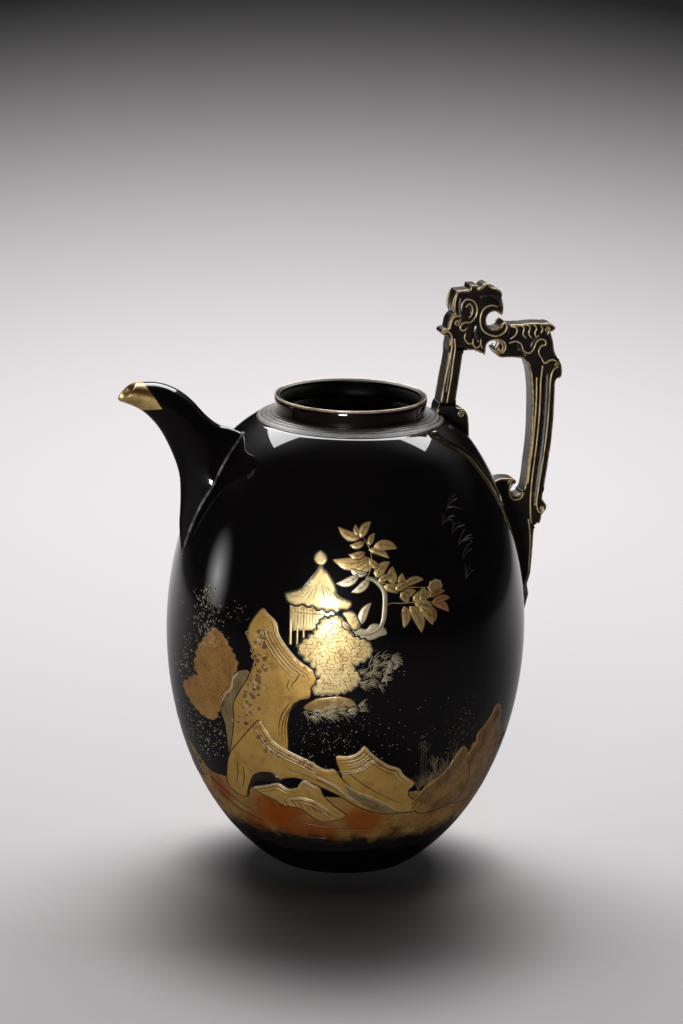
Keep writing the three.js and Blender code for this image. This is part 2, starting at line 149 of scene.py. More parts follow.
class Recipe:
    def __init__(self, name, owner=None):
        self.material = owner or bpy.data.materials.new(name)
        self.material.use_nodes = True
        self.tree = self.material.node_tree
        self.tree.nodes.clear()

    @classmethod
    def for_owner(cls, owner):
        """A recipe for a lamp or for the world."""
        return cls(owner.name, owner)

    def node(self, kind, settings=None, sockets=None, output=0):
        made = self.tree.nodes.new("ShaderNode" + kind)
        for setting, value in (settings or {}).items():
            setattr(made, setting, value)
        for name, value in (sockets or {}).items():
            if isinstance(value, Signal):
                self.tree.links.new(value.socket, made.inputs[name])
            else:
                made.inputs[name].default_value = value
        return Signal(self, made.outputs[output]) if made.outputs else made

    def mixed(self, share, first, second):
        """The first colour where the share is 0, the second where it is 1."""
        colours = {0: share, 6: solid(first), 7: solid(second)}
        return self.node("Mix", {"data_type": "RGBA"}, colours, output=2)

    def place(self):
        return self.node("TexCoord", output="Object")

    def coordinate(self, axis):
        return self.node("SeparateXYZ", None, {0: self.place()}, output=axis)

    def along(self, direction, place=None):
        """How far a place lies along a direction, in metres."""
        ends = {0: place or self.place(), 1: tuple(direction)}
        return self.node("VectorMath", {"operation": "DOT_PRODUCT"}, ends, output="Value")

    def noise(self, size, detail=3.0, roughness=0.5, stretch=(1, 1, 1)):
        """A cloudy noise from about 0 to 1, with lumps about as large as the size in mm."""
        at = self.node("VectorMath", {"operation": "MULTIPLY"}, {0: self.place(), 1: stretch})
        return self.node("TexNoise", None, {
            "Vector": at, "Scale": 1 / (size * MM), "Detail": detail, "Roughness": roughness})

    def relief(self, height, depth, normal=None):
        """A bump from a height signal. The depth is in mm for a height of 1."""
        values = {"Height": height, "Distance": depth * MM, "Strength": 1.0}
        if normal is not None:
            values["Normal"] = normal
        return self.node("Bump", None, values)

    def finish(self, **sockets):
        """Ends the recipe in a Principled shader. Underscores in names stand for spaces."""
        named = {}
        for key, value in sockets.items():
            title = key.replace("_", " ").title().replace("Ior", "IOR")
            named[title] = solid(value) if isinstance(value, tuple) else value
        shader = self.node("BsdfPrincipled", None, named)
        self.node("OutputMaterial", None, {"Surface": shader})
        return self.material


def solid(colour):
    """A colour with its opacity, or a signal as it is."""
    return colour if isinstance(colour, Signal) else (*colour[:3], 1)


print("the recipe helpers are ready")

# %% [markdown]
# The body is black lacquer: many thin coats over turned wood, ground flat and polished
# until it mirrors the room. What makes it look like lacquer and not like plastic is how
# little there is to see: an almost black colour that turns warm brown, a sharp reflection
# in the clear coat only, and then the marks of long use: faint rubbed clouds where the
# polish is duller, hair scratches, and a very slight waviness. Each of them is one noise.

# %% Black lacquer
COLD_BLACK = (0.0022, 0.0018, 0.0022)
WARM_BLACK = (0.0048, 0.0034, 0.0030)
BASE_SHEEN = 0.03
COAT_IOR = 1.72


def black_lacquer(name="black_lacquer", warmth=1.0, wear=1.0):
    recipe = Recipe(name)
    clouds = recipe.noise(34, detail=4)
    rubbed = recipe.noise(9, detail=6, roughness=0.65).above(0.62, 0.1) * clouds.above(0.5, 0.15)
    colour = recipe.mixed(clouds, COLD_BLACK, (WARM_BLACK[0] * warmth, *WARM_BLACK[1:]))
    scratches = recipe.noise(0.7, detail=2, stretch=(1, 1, 0.08)).above(0.69, 0.03)
    dulled = (rubbed * 0.10 + scratches * 0.08) * wear
    waves = recipe.noise(16, detail=1)
    fine = recipe.noise(0.5, detail=2)
    bump = recipe.relief(waves, 0.035, recipe.relief(fine, 0.0012 * wear))
    return recipe.finish(base_color=colour, roughness=0.3 + clouds * 0.06 + dulled,
                         specular_ior_level=BASE_SHEEN, coat_weight=1.0, coat_roughness=0.035,
                         coat_ior=COAT_IOR, normal=bump)


lacquer_on_body = black_lacquer()
print("made", lacquer_on_body.name)

# %% [markdown]
# Inside the mouth the lacquer is thinner and browner, and it was never polished.

# %% Inner lacquer


def inner_lacquer():
    recipe = Recipe("inner_lacquer")
    patches = recipe.noise(12, detail=5)
    rings = recipe.noise(2.5, detail=2, stretch=(0.15, 0.15, 1))
    colour = recipe.mixed(patches, (0.0025, 0.0014, 0.001), (0.007, 0.0035, 0.002))
    bump = recipe.relief(rings, 0.03)
    return recipe.finish(base_color=colour, roughness=0.3 + patches * 0.2, normal=bump)


lacquer_inside = inner_lacquer()

# %% [markdown]
# Gold here is not a sheet of metal. It is powder, sprinkled into wet lacquer and burnished
# once it is hard, so it is a warm, half-matte skin with a fine grain, and where it is
# rubbed through, the brown lacquer below shows. The recipe mixes two golds by a cloud,
# darkens them where grains are missing, and lets the worn grains be rougher and less
# metallic. It can also have blots, in which red lacquer glows through, and a level below
# which the powder fades out. The same recipe serves the rim, the gilt lines of the handle
# and the painted scene, with another tone for each.

# %% Gold powder
BROWN_BELOW = (0.035, 0.017, 0.007)
BLACK_BELOW = (0.004, 0.003, 0.0025)
RED_BELOW = (0.42, 0.085, 0.004)


def gold_powder(name, bright, deep, worn=0.45, grain=0.35, metal=0.6, roughness=0.36,
                blots=(), ends_at=0.0):
    recipe = Recipe(name)
    clouds = recipe.noise(7, detail=5, roughness=0.6)
    powder = recipe.noise(grain, detail=2, roughness=0.7)
    tone = recipe.mixed(clouds.above(0.5, 0.22), deep, bright)
    missing = powder.above(0.72 - 0.2 * worn, 0.08) * clouds.above(0.38, 0.25)
    missing = missing.largest((1 - clouds).above(0.62, 0.06) * 0.7)
    for centre, reach in blots:
        far = recipe.node("VectorMath", {"operation": "DISTANCE"},
                          {0: recipe.place(), 1: tuple(centre * MM)}, output="Value")
        glow = (1 - far / (reach * MM) + (clouds - 0.5) * 1.2).above(0.3, 0.3)
        tone = recipe.mixed(glow * 0.85, tone, RED_BELOW)
    colour = recipe.mixed(missing * worn, tone, BROWN_BELOW)
    level = recipe.coordinate("Z") / MM + (clouds - 0.5) * 12 + (powder - 0.5) * 8
    left = level.above(ends_at, 5)
    colour = recipe.mixed(left, BLACK_BELOW, colour)
    bump = recipe.relief(powder, 0.018)
    return recipe.finish(base_color=colour, metallic=(metal - missing * 0.4 * worn) * left,
                         roughness=roughness + powder * 0.16 + missing * 0.12,
                         coat_weight=0.5, coat_roughness=0.12, normal=bump)


gold_on_rim = gold_powder("rim_gold", (0.90, 0.80, 0.64), (0.52, 0.32, 0.18), worn=0.5,
                          roughness=0.3)
print("made", gold_on_rim.name)

# %% [markdown]
# Pieces are built from rows of points, like the staves and hoops of a basket: the skin
# between two rows is a strip of quads. One function turns rows into a piece, and says what
# the frame needs to know: that it rides on the ewer's only body, and which solids of the
# frame it stands for.

# %% From rows of points to a piece


def lay_piece(name, points, faces, finish, nodes=(), smooth=True):
    mesh = bpy.data.meshes.new(name)
    mesh.from_pydata([Vector(p) * MM for p in points], [], faces)
    mesh.validate()
    mesh.polygons.foreach_set("use_smooth", [smooth] * len(mesh.polygons))
    finishes = finish if isinstance(finish, (list, tuple)) else [finish]
    for material in finishes:
        mesh.materials.append(material)
    piece = bpy.data.objects.new(name, mesh)
    bpy.context.scene.collection.objects.link(piece)
    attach(piece, "root")
    if nodes:
        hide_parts(*nodes)
    return piece


def strip_faces(rows, count, around, closed=False):
    """Quads between neighbouring rows of equally many points."""
    faces = []
    last = rows if closed else rows - 1
    for row in range(last):
        near, far = row * count, ((row + 1) % rows) * count
        for i in range(count if around else count - 1):
            j = (i + 1) % count
            faces.append((near + i, near + j, far + j, far + i))
    return faces


FACETS = 192


def turned_points(profile):
    return [(radius * math.cos(turn), radius * math.sin(turn), height)
            for radius, height in profile for turn in turns_around(FACETS)]


def turned_piece(name, profile, finish, nodes=(), closed=True):
    """A piece from the lathe: the profile goes anticlockwise, seen with height upwards."""
    faces = strip_faces(len(profile), FACETS, around=True, closed=closed)
    return lay_piece(name, turned_points(profile), faces, finish, nodes)


def between(start, end, steps):
    return [start + (end - start) * i / steps for i in range(steps + 1)]


def turns_around(count):
    return [2 * math.pi * i / count for i in range(count)]


def heading(turn):
    return Vector((math.cos(turn), math.sin(turn)))


def leftward(way):
    """The direction at a right angle to the left of a way."""
    return Vector((-way.y, way.x)).normalized()


def bent(start, bend, end, share):
    """A place on the curve from start to end that bends towards a third point."""
    return start.lerp(bend, share).lerp(bend.lerp(end, share), share)


def rounded(corner, before, after, radius, steps=5):
    """Replaces a corner of a profile by a small arc-like curve."""
    corner, before, after = Vector(corner), Vector(before), Vector(after)
    start = corner + (before - corner).normalized() * radius
    end = corner + (after - corner).normalized() * radius
    return [tuple(bent(start, corner, end, share)) for share in between(0, 1, steps)]


def softened(profile, radius):
    """Rounds every corner of a closed profile, as wear and lacquer do."""
    soft = []
    for i, corner in enumerate(profile):
        before, after = profile[i - 1], profile[(i + 1) % len(profile)]
        reach = min(radius, (Vector(corner) - Vector(before)).length * 0.45,
                    (Vector(corner) - Vector(after)).length * 0.45)
        soft += rounded(corner, before, after, reach, 3)
    return soft


# %% [markdown]
# The body is an egg with both ends cut off, and near the neck it flattens towards the
# moulding. In the solid model it is two halves with a lapped joint. On the ewer nobody
# sees that joint, because the lacquer runs over it, so one unbroken skin stands for both.
# The skin stays a little over a quarter of a millimetre inside the solid, to leave room for
# the raised gold on it.

# %% Body
BODY_RADIUS = 82.4
BODY_HALF_HEIGHT = 118.9
BODY_MIDDLE = 110.0
WALL = 4.6
SHOULDER_START = 194.0
SHOULDER_PULL = 0.55
SHELL_TOP = 207.4
MOULDING_EDGE = 42.9
NECK_HOLE = 37.8
SKIN_INSET = 0.28
FOOT_INSIDE = 26.6
FLOOR_INSIDE = 6.4
BOARD_PLUG = 21.7
BOARD_RADIUS = 25.7


def egg_radius(height, inset=0.0):
    share = (height - BODY_MIDDLE) / (BODY_HALF_HEIGHT - inset)
    return (BODY_RADIUS - inset) * math.sqrt(max(0.0, 1 - share * share))


def shoulder_curve(steps):
    start = Vector((egg_radius(SHOULDER_START), SHOULDER_START))
    slope = -((BODY_RADIUS / BODY_HALF_HEIGHT) ** 2) * (SHOULDER_START - BODY_MIDDLE) / start.x
    rise = (SHELL_TOP - SHOULDER_START) * SHOULDER_PULL
    bend = start + Vector((slope * rise, rise))
    end = Vector((MOULDING_EDGE + 0.3, SHELL_TOP))
    return [tuple(bent(start, bend, end, share)) for share in between(0, 1, steps)]


BODY_LINE = [(egg_radius(z), z) for z in between(0, SHOULDER_START, 96)][:-1]
BODY_LINE += shoulder_curve(14)


def body_radius(height):
    """The outer radius of the solid body at any height."""
    for (r0, z0), (r1, z1) in zip(BODY_LINE, BODY_LINE[1:]):
        if z0 <= height <= z1:
            return r0 + (r1 - r0) * (height - z0) / (z1 - z0)
    return BODY_LINE[-1][0] if height > BODY_MIDDLE else BODY_LINE[0][0]


def body_profile():
    outer = [(r - SKIN_INSET, z) for r, z in BODY_LINE]
    foot = rounded((outer[0][0], 0), (FOOT_INSIDE, 0), outer[1], 1.0)
    neck = [(MOULDING_EDGE - 2, SHELL_TOP), (NECK_HOLE + 0.2, SHELL_TOP - 0.1),
            (NECK_HOLE + 0.2, SHELL_TOP - 4.2)]
    inner = [(egg_radius(z, WALL), z) for z in between(SHOULDER_START + WALL, FLOOR_INSIDE, 60)]
    return ([(FOOT_INSIDE, 0)] + foot + outer[1:] + neck + inner
            + [(FOOT_INSIDE, FLOOR_INSIDE)])


body = turned_piece("body_skin", body_profile(), lacquer_on_body,
                    ("lower_shell", "upper_shell"))
board_profile = softened([(0.01, 1.2), (BOARD_PLUG, 1.2), (BOARD_RADIUS, 3), (BOARD_RADIUS, 6),
                          (0.01, 6)], 0.3)
turned_piece("base_board_skin", board_profile,
             black_lacquer("board_lacquer", warmth=1.6, wear=2.0),
             ("base_board",))
print("body skin", len(body.data.polygons), "faces")

# %% [markdown]
# Round the neck runs a low moulding of fine turned ridges, and on it stands the collar of
# the mouth. The ridges catch the light as thin bright arcs, so they are given real round
# tops and not a bump. No cloth reaches between them, so the lacquer there is dull and
# dusty, and its pale grey is partly a painted sheen of the light from above. Faces that
# look inwards get the inner lacquer, picked by how far out they lie.

# %% Moulding, collar and rim
MOUTH_RADIUS = 31.7
COLLAR_RADIUS = 34.8
COLLAR_FOOT = 210.0
RIM_FOOT = 217.1
MOUTH_TOP = 218.2
RIDGES = 4
RIM_BEAD = 0.4


def moulding_profile():
    """A smooth slope from the shoulder up to the collar, with fine raised rings on it."""
    seat = COLLAR_RADIUS + 0.3
    low, high = SHELL_TOP + 0.35, COLLAR_FOOT - 0.35
    steps = [(MOUTH_RADIUS + 0.1, SHELL_TOP - 4), (NECK_HOLE - 0.4, SHELL_TOP - 4),
             (NECK_HOLE - 0.4, SHELL_TOP + 0.1), (MOULDING_EDGE - 0.5, SHELL_TOP + 0.1),
             (MOULDING_EDGE - 0.1, SHELL_TOP + 0.25)]
    for ridge in range(RIDGES):
        for share, raised in ((0.0, 0.0), (0.12, 0.0), (0.2, 0.16), (0.32, 0.2), (0.42, 0.02)):
            along = (ridge + share) / RIDGES
            bend = 0.35 * math.sin(math.pi * along)
            steps.append((MOULDING_EDGE - 0.3 + (seat - MOULDING_EDGE + 0.3) * along,
                          low + (high - low) * along + bend + raised))
    return steps + [(seat - 0.2, high + 0.1), (seat - 0.6, COLLAR_FOOT - 0.1),
                    (MOUTH_RADIUS + 0.1, COLLAR_FOOT - 0.1)]


def collar_profile():
    outer = [(COLLAR_RADIUS - 0.5, COLLAR_FOOT - 0.1), (COLLAR_RADIUS - 0.7, COLLAR_FOOT + 1.2),
             (COLLAR_RADIUS - 0.55, COLLAR_FOOT + 3), (COLLAR_RADIUS - 0.15, COLLAR_FOOT + 5.2),
             (COLLAR_RADIUS - 0.05, RIM_FOOT - 0.6), (COLLAR_RADIUS - 0.3, RIM_FOOT)]
    inner = [(MOUTH_RADIUS + 0.2, RIM_FOOT), (MOUTH_RADIUS + 0.1, COLLAR_FOOT),
             (MOUTH_RADIUS + 0.1, SHELL_TOP - 4)]
    return outer + inner + [(COLLAR_RADIUS - 2, SHELL_TOP - 4)]


def rim_profile():
    """A gold bead on the outer edge, and a dark slope from it down into the mouth."""
    centre = (COLLAR_RADIUS - RIM_BEAD - 0.05, MOUTH_TOP - RIM_BEAD)
    bead = [(centre[0] + RIM_BEAD * math.cos(turn), centre[1] + RIM_BEAD * math.sin(turn))
            for turn in between(-0.3, math.pi * 0.8, 12)]
    return ([(COLLAR_RADIUS - 0.3, RIM_FOOT - 0.1)] + bead
            + [(MOUTH_RADIUS + 0.7, RIM_FOOT + 0.5), (MOUTH_RADIUS + 0.05, RIM_FOOT - 0.1)])


def dull_lacquer():
    """Lacquer that the rings have kept out of reach of the polishing cloth; its pale grey is dust
    and partly painted sheen.
    """
    recipe = Recipe("dull_lacquer")
    dust = recipe.noise(5, detail=5, roughness=0.6, stretch=(1, 1, 4))
    copper = recipe.noise(11, detail=3).above(0.6, 0.1)
    # The pale grey is dust and partly a painted sheen of the light from above.
    colour = recipe.mixed(dust.above(0.45, 0.25), (0.07, 0.062, 0.055), (0.28, 0.265, 0.24))
    colour = recipe.mixed(copper * 0.5, colour, (0.16, 0.07, 0.035))
    return recipe.finish(base_color=colour, roughness=0.4 + dust * 0.2, coat_weight=1.0,
                         coat_roughness=0.28, coat_ior=1.8, normal=recipe.relief(dust, 0.02))


collar_lacquer = black_lacquer("collar_lacquer", warmth=2.2, wear=1.4)
turned_piece("moulding", moulding_profile(), dull_lacquer(), ("shoulder_ring",))
collar = turned_piece("collar", collar_profile(), [collar_lacquer, lacquer_inside],
                      ("mouth_collar",))
for inside, edge in ((collar, MOUTH_RADIUS + 1), (body, egg_radius(BODY_MIDDLE, WALL) + 0.1)):
    inside.data.materials.append(lacquer_inside)
    for face in inside.data.polygons:
        at = face.center / MM
        own_edge = min(edge, egg_radius(at.z, WALL) + 0.4) if inside == body else edge
        if math.hypot(at.x, at.y) < own_edge and at.z > FLOOR_INSIDE - 0.4:
            face.material_index = 1
rim = turned_piece("rim", rim_profile(), [gold_on_rim, lacquer_inside], ("mouth_rim",))
for face in rim.data.polygons:
    at = face.center / MM
    if math.hypot(at.x, at.y) < COLLAR_RADIUS - 2 * RIM_BEAD - 0.1 or at.z < RIM_FOOT:
        face.material_index = 1
print("mouth", 2 * MOUTH_RADIUS, "mm across inside")

# %% [markdown]
# The spout is carved from two halves, glued and bored. It is widest near its upper line and
# pinched to a keel below, and it curves out to an oblique lip. Its upper line is that of
# the solid model. The lower line leaves the body about 10 mm lower than there, and the
# inner half is narrower, because it flares out again where it meets the body. Each line
# from the root to the lip starts where it goes into the wall of the body, so nothing pokes
# through inside.

# %% Spout
SPOUT_UPPER = [(-48.4, 76), (-36.4, 87), (-27.4, 93.8), (-20.4, 96.6), (-14.2, 101.6),
               (-7.1, 109.2), (0.2, 114.4), (8.6, 117.2), (18.5, 117.4)]
SPOUT_LOWER = [(-9.6, 24), (-5.4, 36), (-3.3, 50), (-3.4, 64), (-2.3, 75.5), (2.4, 87.5),
               (8.4, 97.6), (16.6, 105.3), (26.5, 109.6)]
SPOUT_HALF_WIDTHS = [5.2, 5.6, 6.2, 6.9, 7.6, 8.2, 8, 7, 5.6]
SPOUT_PINCH = [0.75, 0.72, 0.66, 0.55, 0.45, 0.32, 0.2, 0.12, 0.05]
SPOUT_BORE = 5.4
LIP_BORE = 3.5
FLARE = 3.4
FLARE_REACH = 7


def spline_at(points, share):
    """A smooth curve through all the points, of the kind that the solid model uses too."""
    last = len(points) - 1
    place = min(max(share, 0), 1) * last
    i = min(int(place), last - 1)
    t = place - i
    p0, p1, p2, p3 = (Vector(points[min(max(k, 0), last)]) for k in (i - 1, i, i + 1, i + 2))
    return ((2 * p1 - 2 * p2 + (p2 - p0) * 0.5 + (p3 - p1) * 0.5) * t ** 3
            + (-3 * p1 + 3 * p2 - (p2 - p0) - (p3 - p1) * 0.5) * t ** 2
            + (p2 - p0) * 0.5 * t + p1)


def value_at(values, share):
    place = min(max(share, 0), 1) * (len(values) - 1)
    i = min(int(place), len(values) - 2)
    return values[i] + (values[i + 1] - values[i]) * (place - i)


def spout_lines(share):
    origin = Vector((-BODY_RADIUS, BODY_MIDDLE))
    mirror = Vector((-1, 1))
    return [origin + spline_at(line, share) * mirror for line in (SPOUT_UPPER, SPOUT_LOWER)]


def depth_in_body(point):
    """How far a point is inside the body, in mm, measured level."""
    return body_radius(point.z) - math.hypot(point.x, point.y)


def spout_point(share, turn, grow=0.0):
    top, bottom = spout_lines(share)
    up = (1 + math.cos(turn)) / 2
    side = (value_at(SPOUT_HALF_WIDTHS, share) + grow) * math.sin(turn)
    side *= 1 - value_at(SPOUT_PINCH, share) * (1 - up)
    across = (top - bottom).normalized() * grow
    at = (bottom - across).lerp(top + across, up)
    point = Vector((at.x, side, at.y))
    middle = bottom.lerp(top, 0.5)
    outward = (point - Vector((middle.x, 0, middle.y))).normalized()
    outward = Vector((outward.x * 0.35, outward.y, outward.z * 0.35))
    gap = max(0.0, -depth_in_body(point))
    return point + outward * FLARE * math.exp(-gap / FLARE_REACH)


def root_share(turn, depth):
    """Where the line of the spout at this turn goes the given depth into the body."""
    inside, outside = 0.0, 0.75
    for _ in range(24):
        middle = (inside + outside) / 2
        if depth_in_body(spout_point(middle, turn)) > depth:
            inside = middle
        else:
            outside = middle
    return (inside + outside) / 2


print("the spout's upper line leaves the body at", round(root_share(0, 0), 2), "of its length")

# %% [markdown]
# The lip is cut oblique and its edge is rounded, and a short bore runs into it. Towards
# the body the spout flares out, as filler and many coats of lacquer leave it. The
# mouthpiece is gilt: on each side the gold ends in a slanted line that runs back to a
# point. So the spout has one finish in which a mask parts black lacquer from gold. The
# mask asks how far out a place lies and how high, in mm from the widest place of the body.
# A darker band runs along the middle of the gold, as painted shade on its shadow side.

# %% The spout's skin
SPOUT_ROWS = 84
SPOUT_SIDES = 64
GOLD_STARTS = 7.6
GOLD_LEVEL = 106.3
GOLD_SLANT = 0.68
LIP_STARTS = 16.6
SHADE_BAND_LEVELS = (109.2, 112.4)


def bore_centre(share):
    top, bottom = spout_lines(share)
    radius = SPOUT_BORE + (LIP_BORE - SPOUT_BORE) * share
    across = (top - bottom).normalized()
    under_top = top - across * (3 + radius)
    return ((top + bottom) / 2).lerp(under_top, 1 - share), across, radius


def bore_ring(share, grow=0.0):
    centre, across, radius = bore_centre(share)
    ring = []
    for turn in turns_around(SPOUT_SIDES):
        at = centre + across * (radius + grow) * math.cos(turn)
        ring.append(Vector((at.x, (radius + grow) * math.sin(turn), at.y)))
    return ring


def spout_rows():
    turns = turns_around(SPOUT_SIDES)
    roots = [root_share(turn, 1.2) for turn in turns]
    rows = []
    for step in between(0, 1, SPOUT_ROWS):
        rows.append([spout_point(root + (0.985 - root) * step, turn)
                     for root, turn in zip(roots, turns)])
    outer = [spout_point(1.0, turn, grow=-0.35) for turn in turns]
    inner = bore_ring(1.0, grow=0.25)
    rows.append([a.lerp(b, 0.02) for a, b in zip(outer, inner)])
    rows.append([a.lerp(b, 0.5) for a, b in zip(outer, inner)])
    rows.append(inner)
    for share in between(0.985, 0.45, 20):
        rows.append(bore_ring(share))
    return rows


def spout_finish():
    recipe = Recipe("spout_lacquer")
    clouds = recipe.noise(9, detail=5, roughness=0.6)
    powder = recipe.noise(0.35, detail=2, roughness=0.7)
    out = recipe.coordinate("X") / -MM - BODY_RADIUS + (clouds - 0.5) * 1.2
    level = recipe.coordinate("Z") / MM - BODY_MIDDLE
    slant = (level - GOLD_LEVEL).largest(0.0) * GOLD_SLANT + GOLD_STARTS
    upper = (level + (out - GOLD_STARTS) * 0.13).above(GOLD_LEVEL + 0.1, 0.15)
    gilt = (out - slant).above(0, 0.15) * upper.largest(out.above(LIP_STARTS, 0.3))
    black = recipe.mixed(clouds, COLD_BLACK, WARM_BLACK)
    gold = recipe.mixed(clouds.above(0.48, 0.2), (0.30, 0.18, 0.055), (0.72, 0.52, 0.22))
    # Painted shade: the gold is darker in a band along its middle, its shadow side.
    along_gold = level - out * 0.2
    low, high = SHADE_BAND_LEVELS
    beside_shade_band = (1 - (along_gold - low).above(0, 1.2)).largest((along_gold - high).above(0, 1))
    gold = recipe.mixed(beside_shade_band, (0.16, 0.085, 0.03), gold)
    bump = recipe.relief(powder, 0.012, recipe.relief(recipe.noise(16, detail=1), 0.03))
    return recipe.finish(base_color=recipe.mixed(gilt, black, gold), metallic=gilt * 0.65,
                         roughness=0.3 + clouds * 0.06 + gilt * (0.08 + powder * 0.12),
                         specular_ior_level=BASE_SHEEN, coat_weight=1.0 - gilt * 0.5,
                         coat_roughness=0.04, coat_ior=COAT_IOR, normal=bump)


rows = spout_rows()
spout_points = [p for row in rows for p in row]
spout_faces = strip_faces(len(rows), SPOUT_SIDES, around=True)
lay_piece("spout_skin", spout_points, spout_faces, spout_finish(),
          ("spout_near_half", "spout_far_half", "spout_tip"))
print("spout faces", len(spout_faces))

# %% [markdown]
# Where the spout meets the body there is a thin raised seam of filler and lacquer. Its pale
# patches are a painted highlight along its round top. It is a small round bead that follows
# the curve on which the two skins cross. A bead is a tube, drawn through any list of points
# with a radius at each.

# %% Beads


def tube(path, radii, face_out, sides=10, closed=False):
    """Points and faces of a tube along a path. Face_out says which way is up at a place."""
    points, count = [], len(path)
    for i, centre in enumerate(path):
        before = path[i - 1] if i or closed else path[0]
        after = path[(i + 1) % count] if i < count - 1 or closed else path[-1]
        along = (after - before).normalized()
        side = along.cross(face_out(centre)).normalized()
        out = side.cross(along).normalized()
        for turn in turns_around(sides):
            points.append(centre + side * math.cos(turn) * radii[i]
                          + out * math.sin(turn) * radii[i])
    faces = strip_faces(count, sides, around=True, closed=closed)
    if not closed:
        faces.append(tuple(range(sides - 1, -1, -1)))
        faces.append(tuple((count - 1) * sides + k for k in range(sides)))
    return points, faces


def out_of_body(point):
    slope = (point.z - BODY_MIDDLE) / BODY_HALF_HEIGHT ** 2
    return Vector((point.x / BODY_RADIUS ** 2, point.y / BODY_RADIUS ** 2, slope)).normalized()


def seam_with_painted_highlight():
    recipe = Recipe("seam_with_painted_highlight")
    patches = recipe.noise(3, detail=4)
    # Painted highlight: pale patches on the dark seam.
    colour = recipe.mixed(patches.above(0.52, 0.2), (0.016, 0.014, 0.012), (0.24, 0.22, 0.20))
    return recipe.finish(base_color=colour, roughness=0.35 + patches * 0.3,
                         normal=recipe.relief(patches, 0.05))


SEAM_POINTS = 96
SEAM_RADIUS = 0.75
seam_path = [spout_point(root_share(turn, SKIN_INSET), turn)
             for turn in turns_around(SEAM_POINTS)]
seam_points, seam_faces = tube(seam_path, [SEAM_RADIUS] * SEAM_POINTS, out_of_body, closed=True)
lay_piece("spout_seam", seam_points, seam_faces, seam_with_painted_highlight())
print("seam of", len(seam_path), "points")

# %% [markdown]
# The handle is a thick plate of wood, sawn to its outline and then carved on both faces.
# Each piece of it is drawn as an outline. A step of two numbers is a straight line, and a
# step of four is a curve, whose first two numbers are the point that it bends towards.

# %% Outlines of the handle
PLATE_HALF = 5.0
FRONT_X = MOULDING_EDGE
BACK_X = BODY_RADIUS + 2.6
BEAM_LEVEL = COLLAR_FOOT + 34.6
POST_FOOT = COLLAR_FOOT + 2.6
POST_TOP = BEAM_LEVEL - 6.6
BACK_TOP = BEAM_LEVEL - 12.2
HEEL_TOP = BODY_MIDDLE + 60.5
TAIL_TOP = BODY_MIDDLE + 43.4


def measured_from(x, z, steps):
    return [tuple(v + (z if i % 2 else x) for i, v in enumerate(step)) for step in steps]


def drawn(steps, pitch=0.7):
    """Turns outline steps into a closed ring of points, about a pitch apart."""
    ring, here = [], Vector(steps[0])
    for step in list(steps[1:]) + [steps[0]]:
        end = Vector(step[-2:])
        bend = Vector(step[:2]) if len(step) == 4 else (here + end) / 2
        count = max(1, round(((bend - here).length + (end - bend).length) / pitch))
        for share in between(0, 1, count)[:-1]:
            ring.append(bent(here, bend, end, share))
        here = end
    return ring


def passing(p0, p1, p2, p3, steps):
    """Points of a smooth curve from p1 on towards p2."""
    return [p1 + (p2 - p0) * 0.5 * t + (2 * p0 - 5 * p1 + 4 * p2 - p3) * 0.5 * t * t
            + (3 * p1 - p0 - 3 * p2 + p3) * 0.5 * t ** 3 for t in between(0, 1, steps)[:-1]]


def curve_through(knots, pitch=0.8):
    """An open smooth path through the knots."""
    path, last = [], len(knots) - 1
    for i in range(last):
        four = [Vector(knots[min(max(i + k, 0), last)]) for k in (-1, 0, 1, 2)]
        path += passing(*four, max(2, round((four[2] - four[1]).length / pitch)))
    return path + [Vector(knots[-1])]


def smooth_ring(knots, pitch=0.6):
    """A closed curve through the knots."""
    ring = []
    for i in range(len(knots)):
        four = [Vector(knots[(i + k) % len(knots)]) for k in (-1, 0, 1, 2)]
        ring += passing(*four, max(2, round((four[2] - four[1]).length / pitch)))
    return ring


FRONT_FOOT = measured_from(FRONT_X, POST_FOOT, [
    (-3.7, -7), (-3.6, -3), (-3.2, -1.4, -2, 1), (5.6, 1), (5.7, -1.8), (6.8, -1.6, 8.6, -2),
    (11.4, -3.2, 12, -6.6), (12.6, -12, 12.6, -17), (8, -13), (3, -10)])
FRONT_POST = (measured_from(FRONT_X, POST_FOOT, [(-2.0, -0.6), (-0.3, 10, 0.8, 18)])
              + measured_from(FRONT_X, POST_TOP, [(1.9, 1), (8.8, 1)])
              + measured_from(FRONT_X, POST_FOOT, [(7.4, 14, 5.4, -0.6)]))
CROSSBEAM = (
    measured_from(FRONT_X, BEAM_LEVEL, [(1.6, -6.6), (2, 0), (29.8, 0), (29.8, 4.4)])
    + measured_from(BACK_X, BEAM_LEVEL, [
        (-6, 4.2), (0, 5, 5, 4.3), (8.6, 5, 10.4, 2), (10.2, 0.6, 8, 0.2),
        (9.6, -3.6, 10, -8), (11, -10.6, 11.5, -12.2), (-3.6, -12.2), (-7, -11.2, -11, -11)])
    + measured_from(FRONT_X, BEAM_LEVEL, [
        (27.1, -11), (24.1, -10.4, 23.3, -6.8), (24.1, -6, 24.8, -7.2), (25.7, -8.8, 27.1, -8),
        (28.3, -7, 28.1, -5.2), (27.5, -2.8, 23.7, -2.8), (19.7, -2.8, 19.4, -6),
        (19.2, -9.6), (17.7, -8.6), (15.9, -8.4, 15.9, -7.8), (14.1, -7.6, 14.1, -7)]))
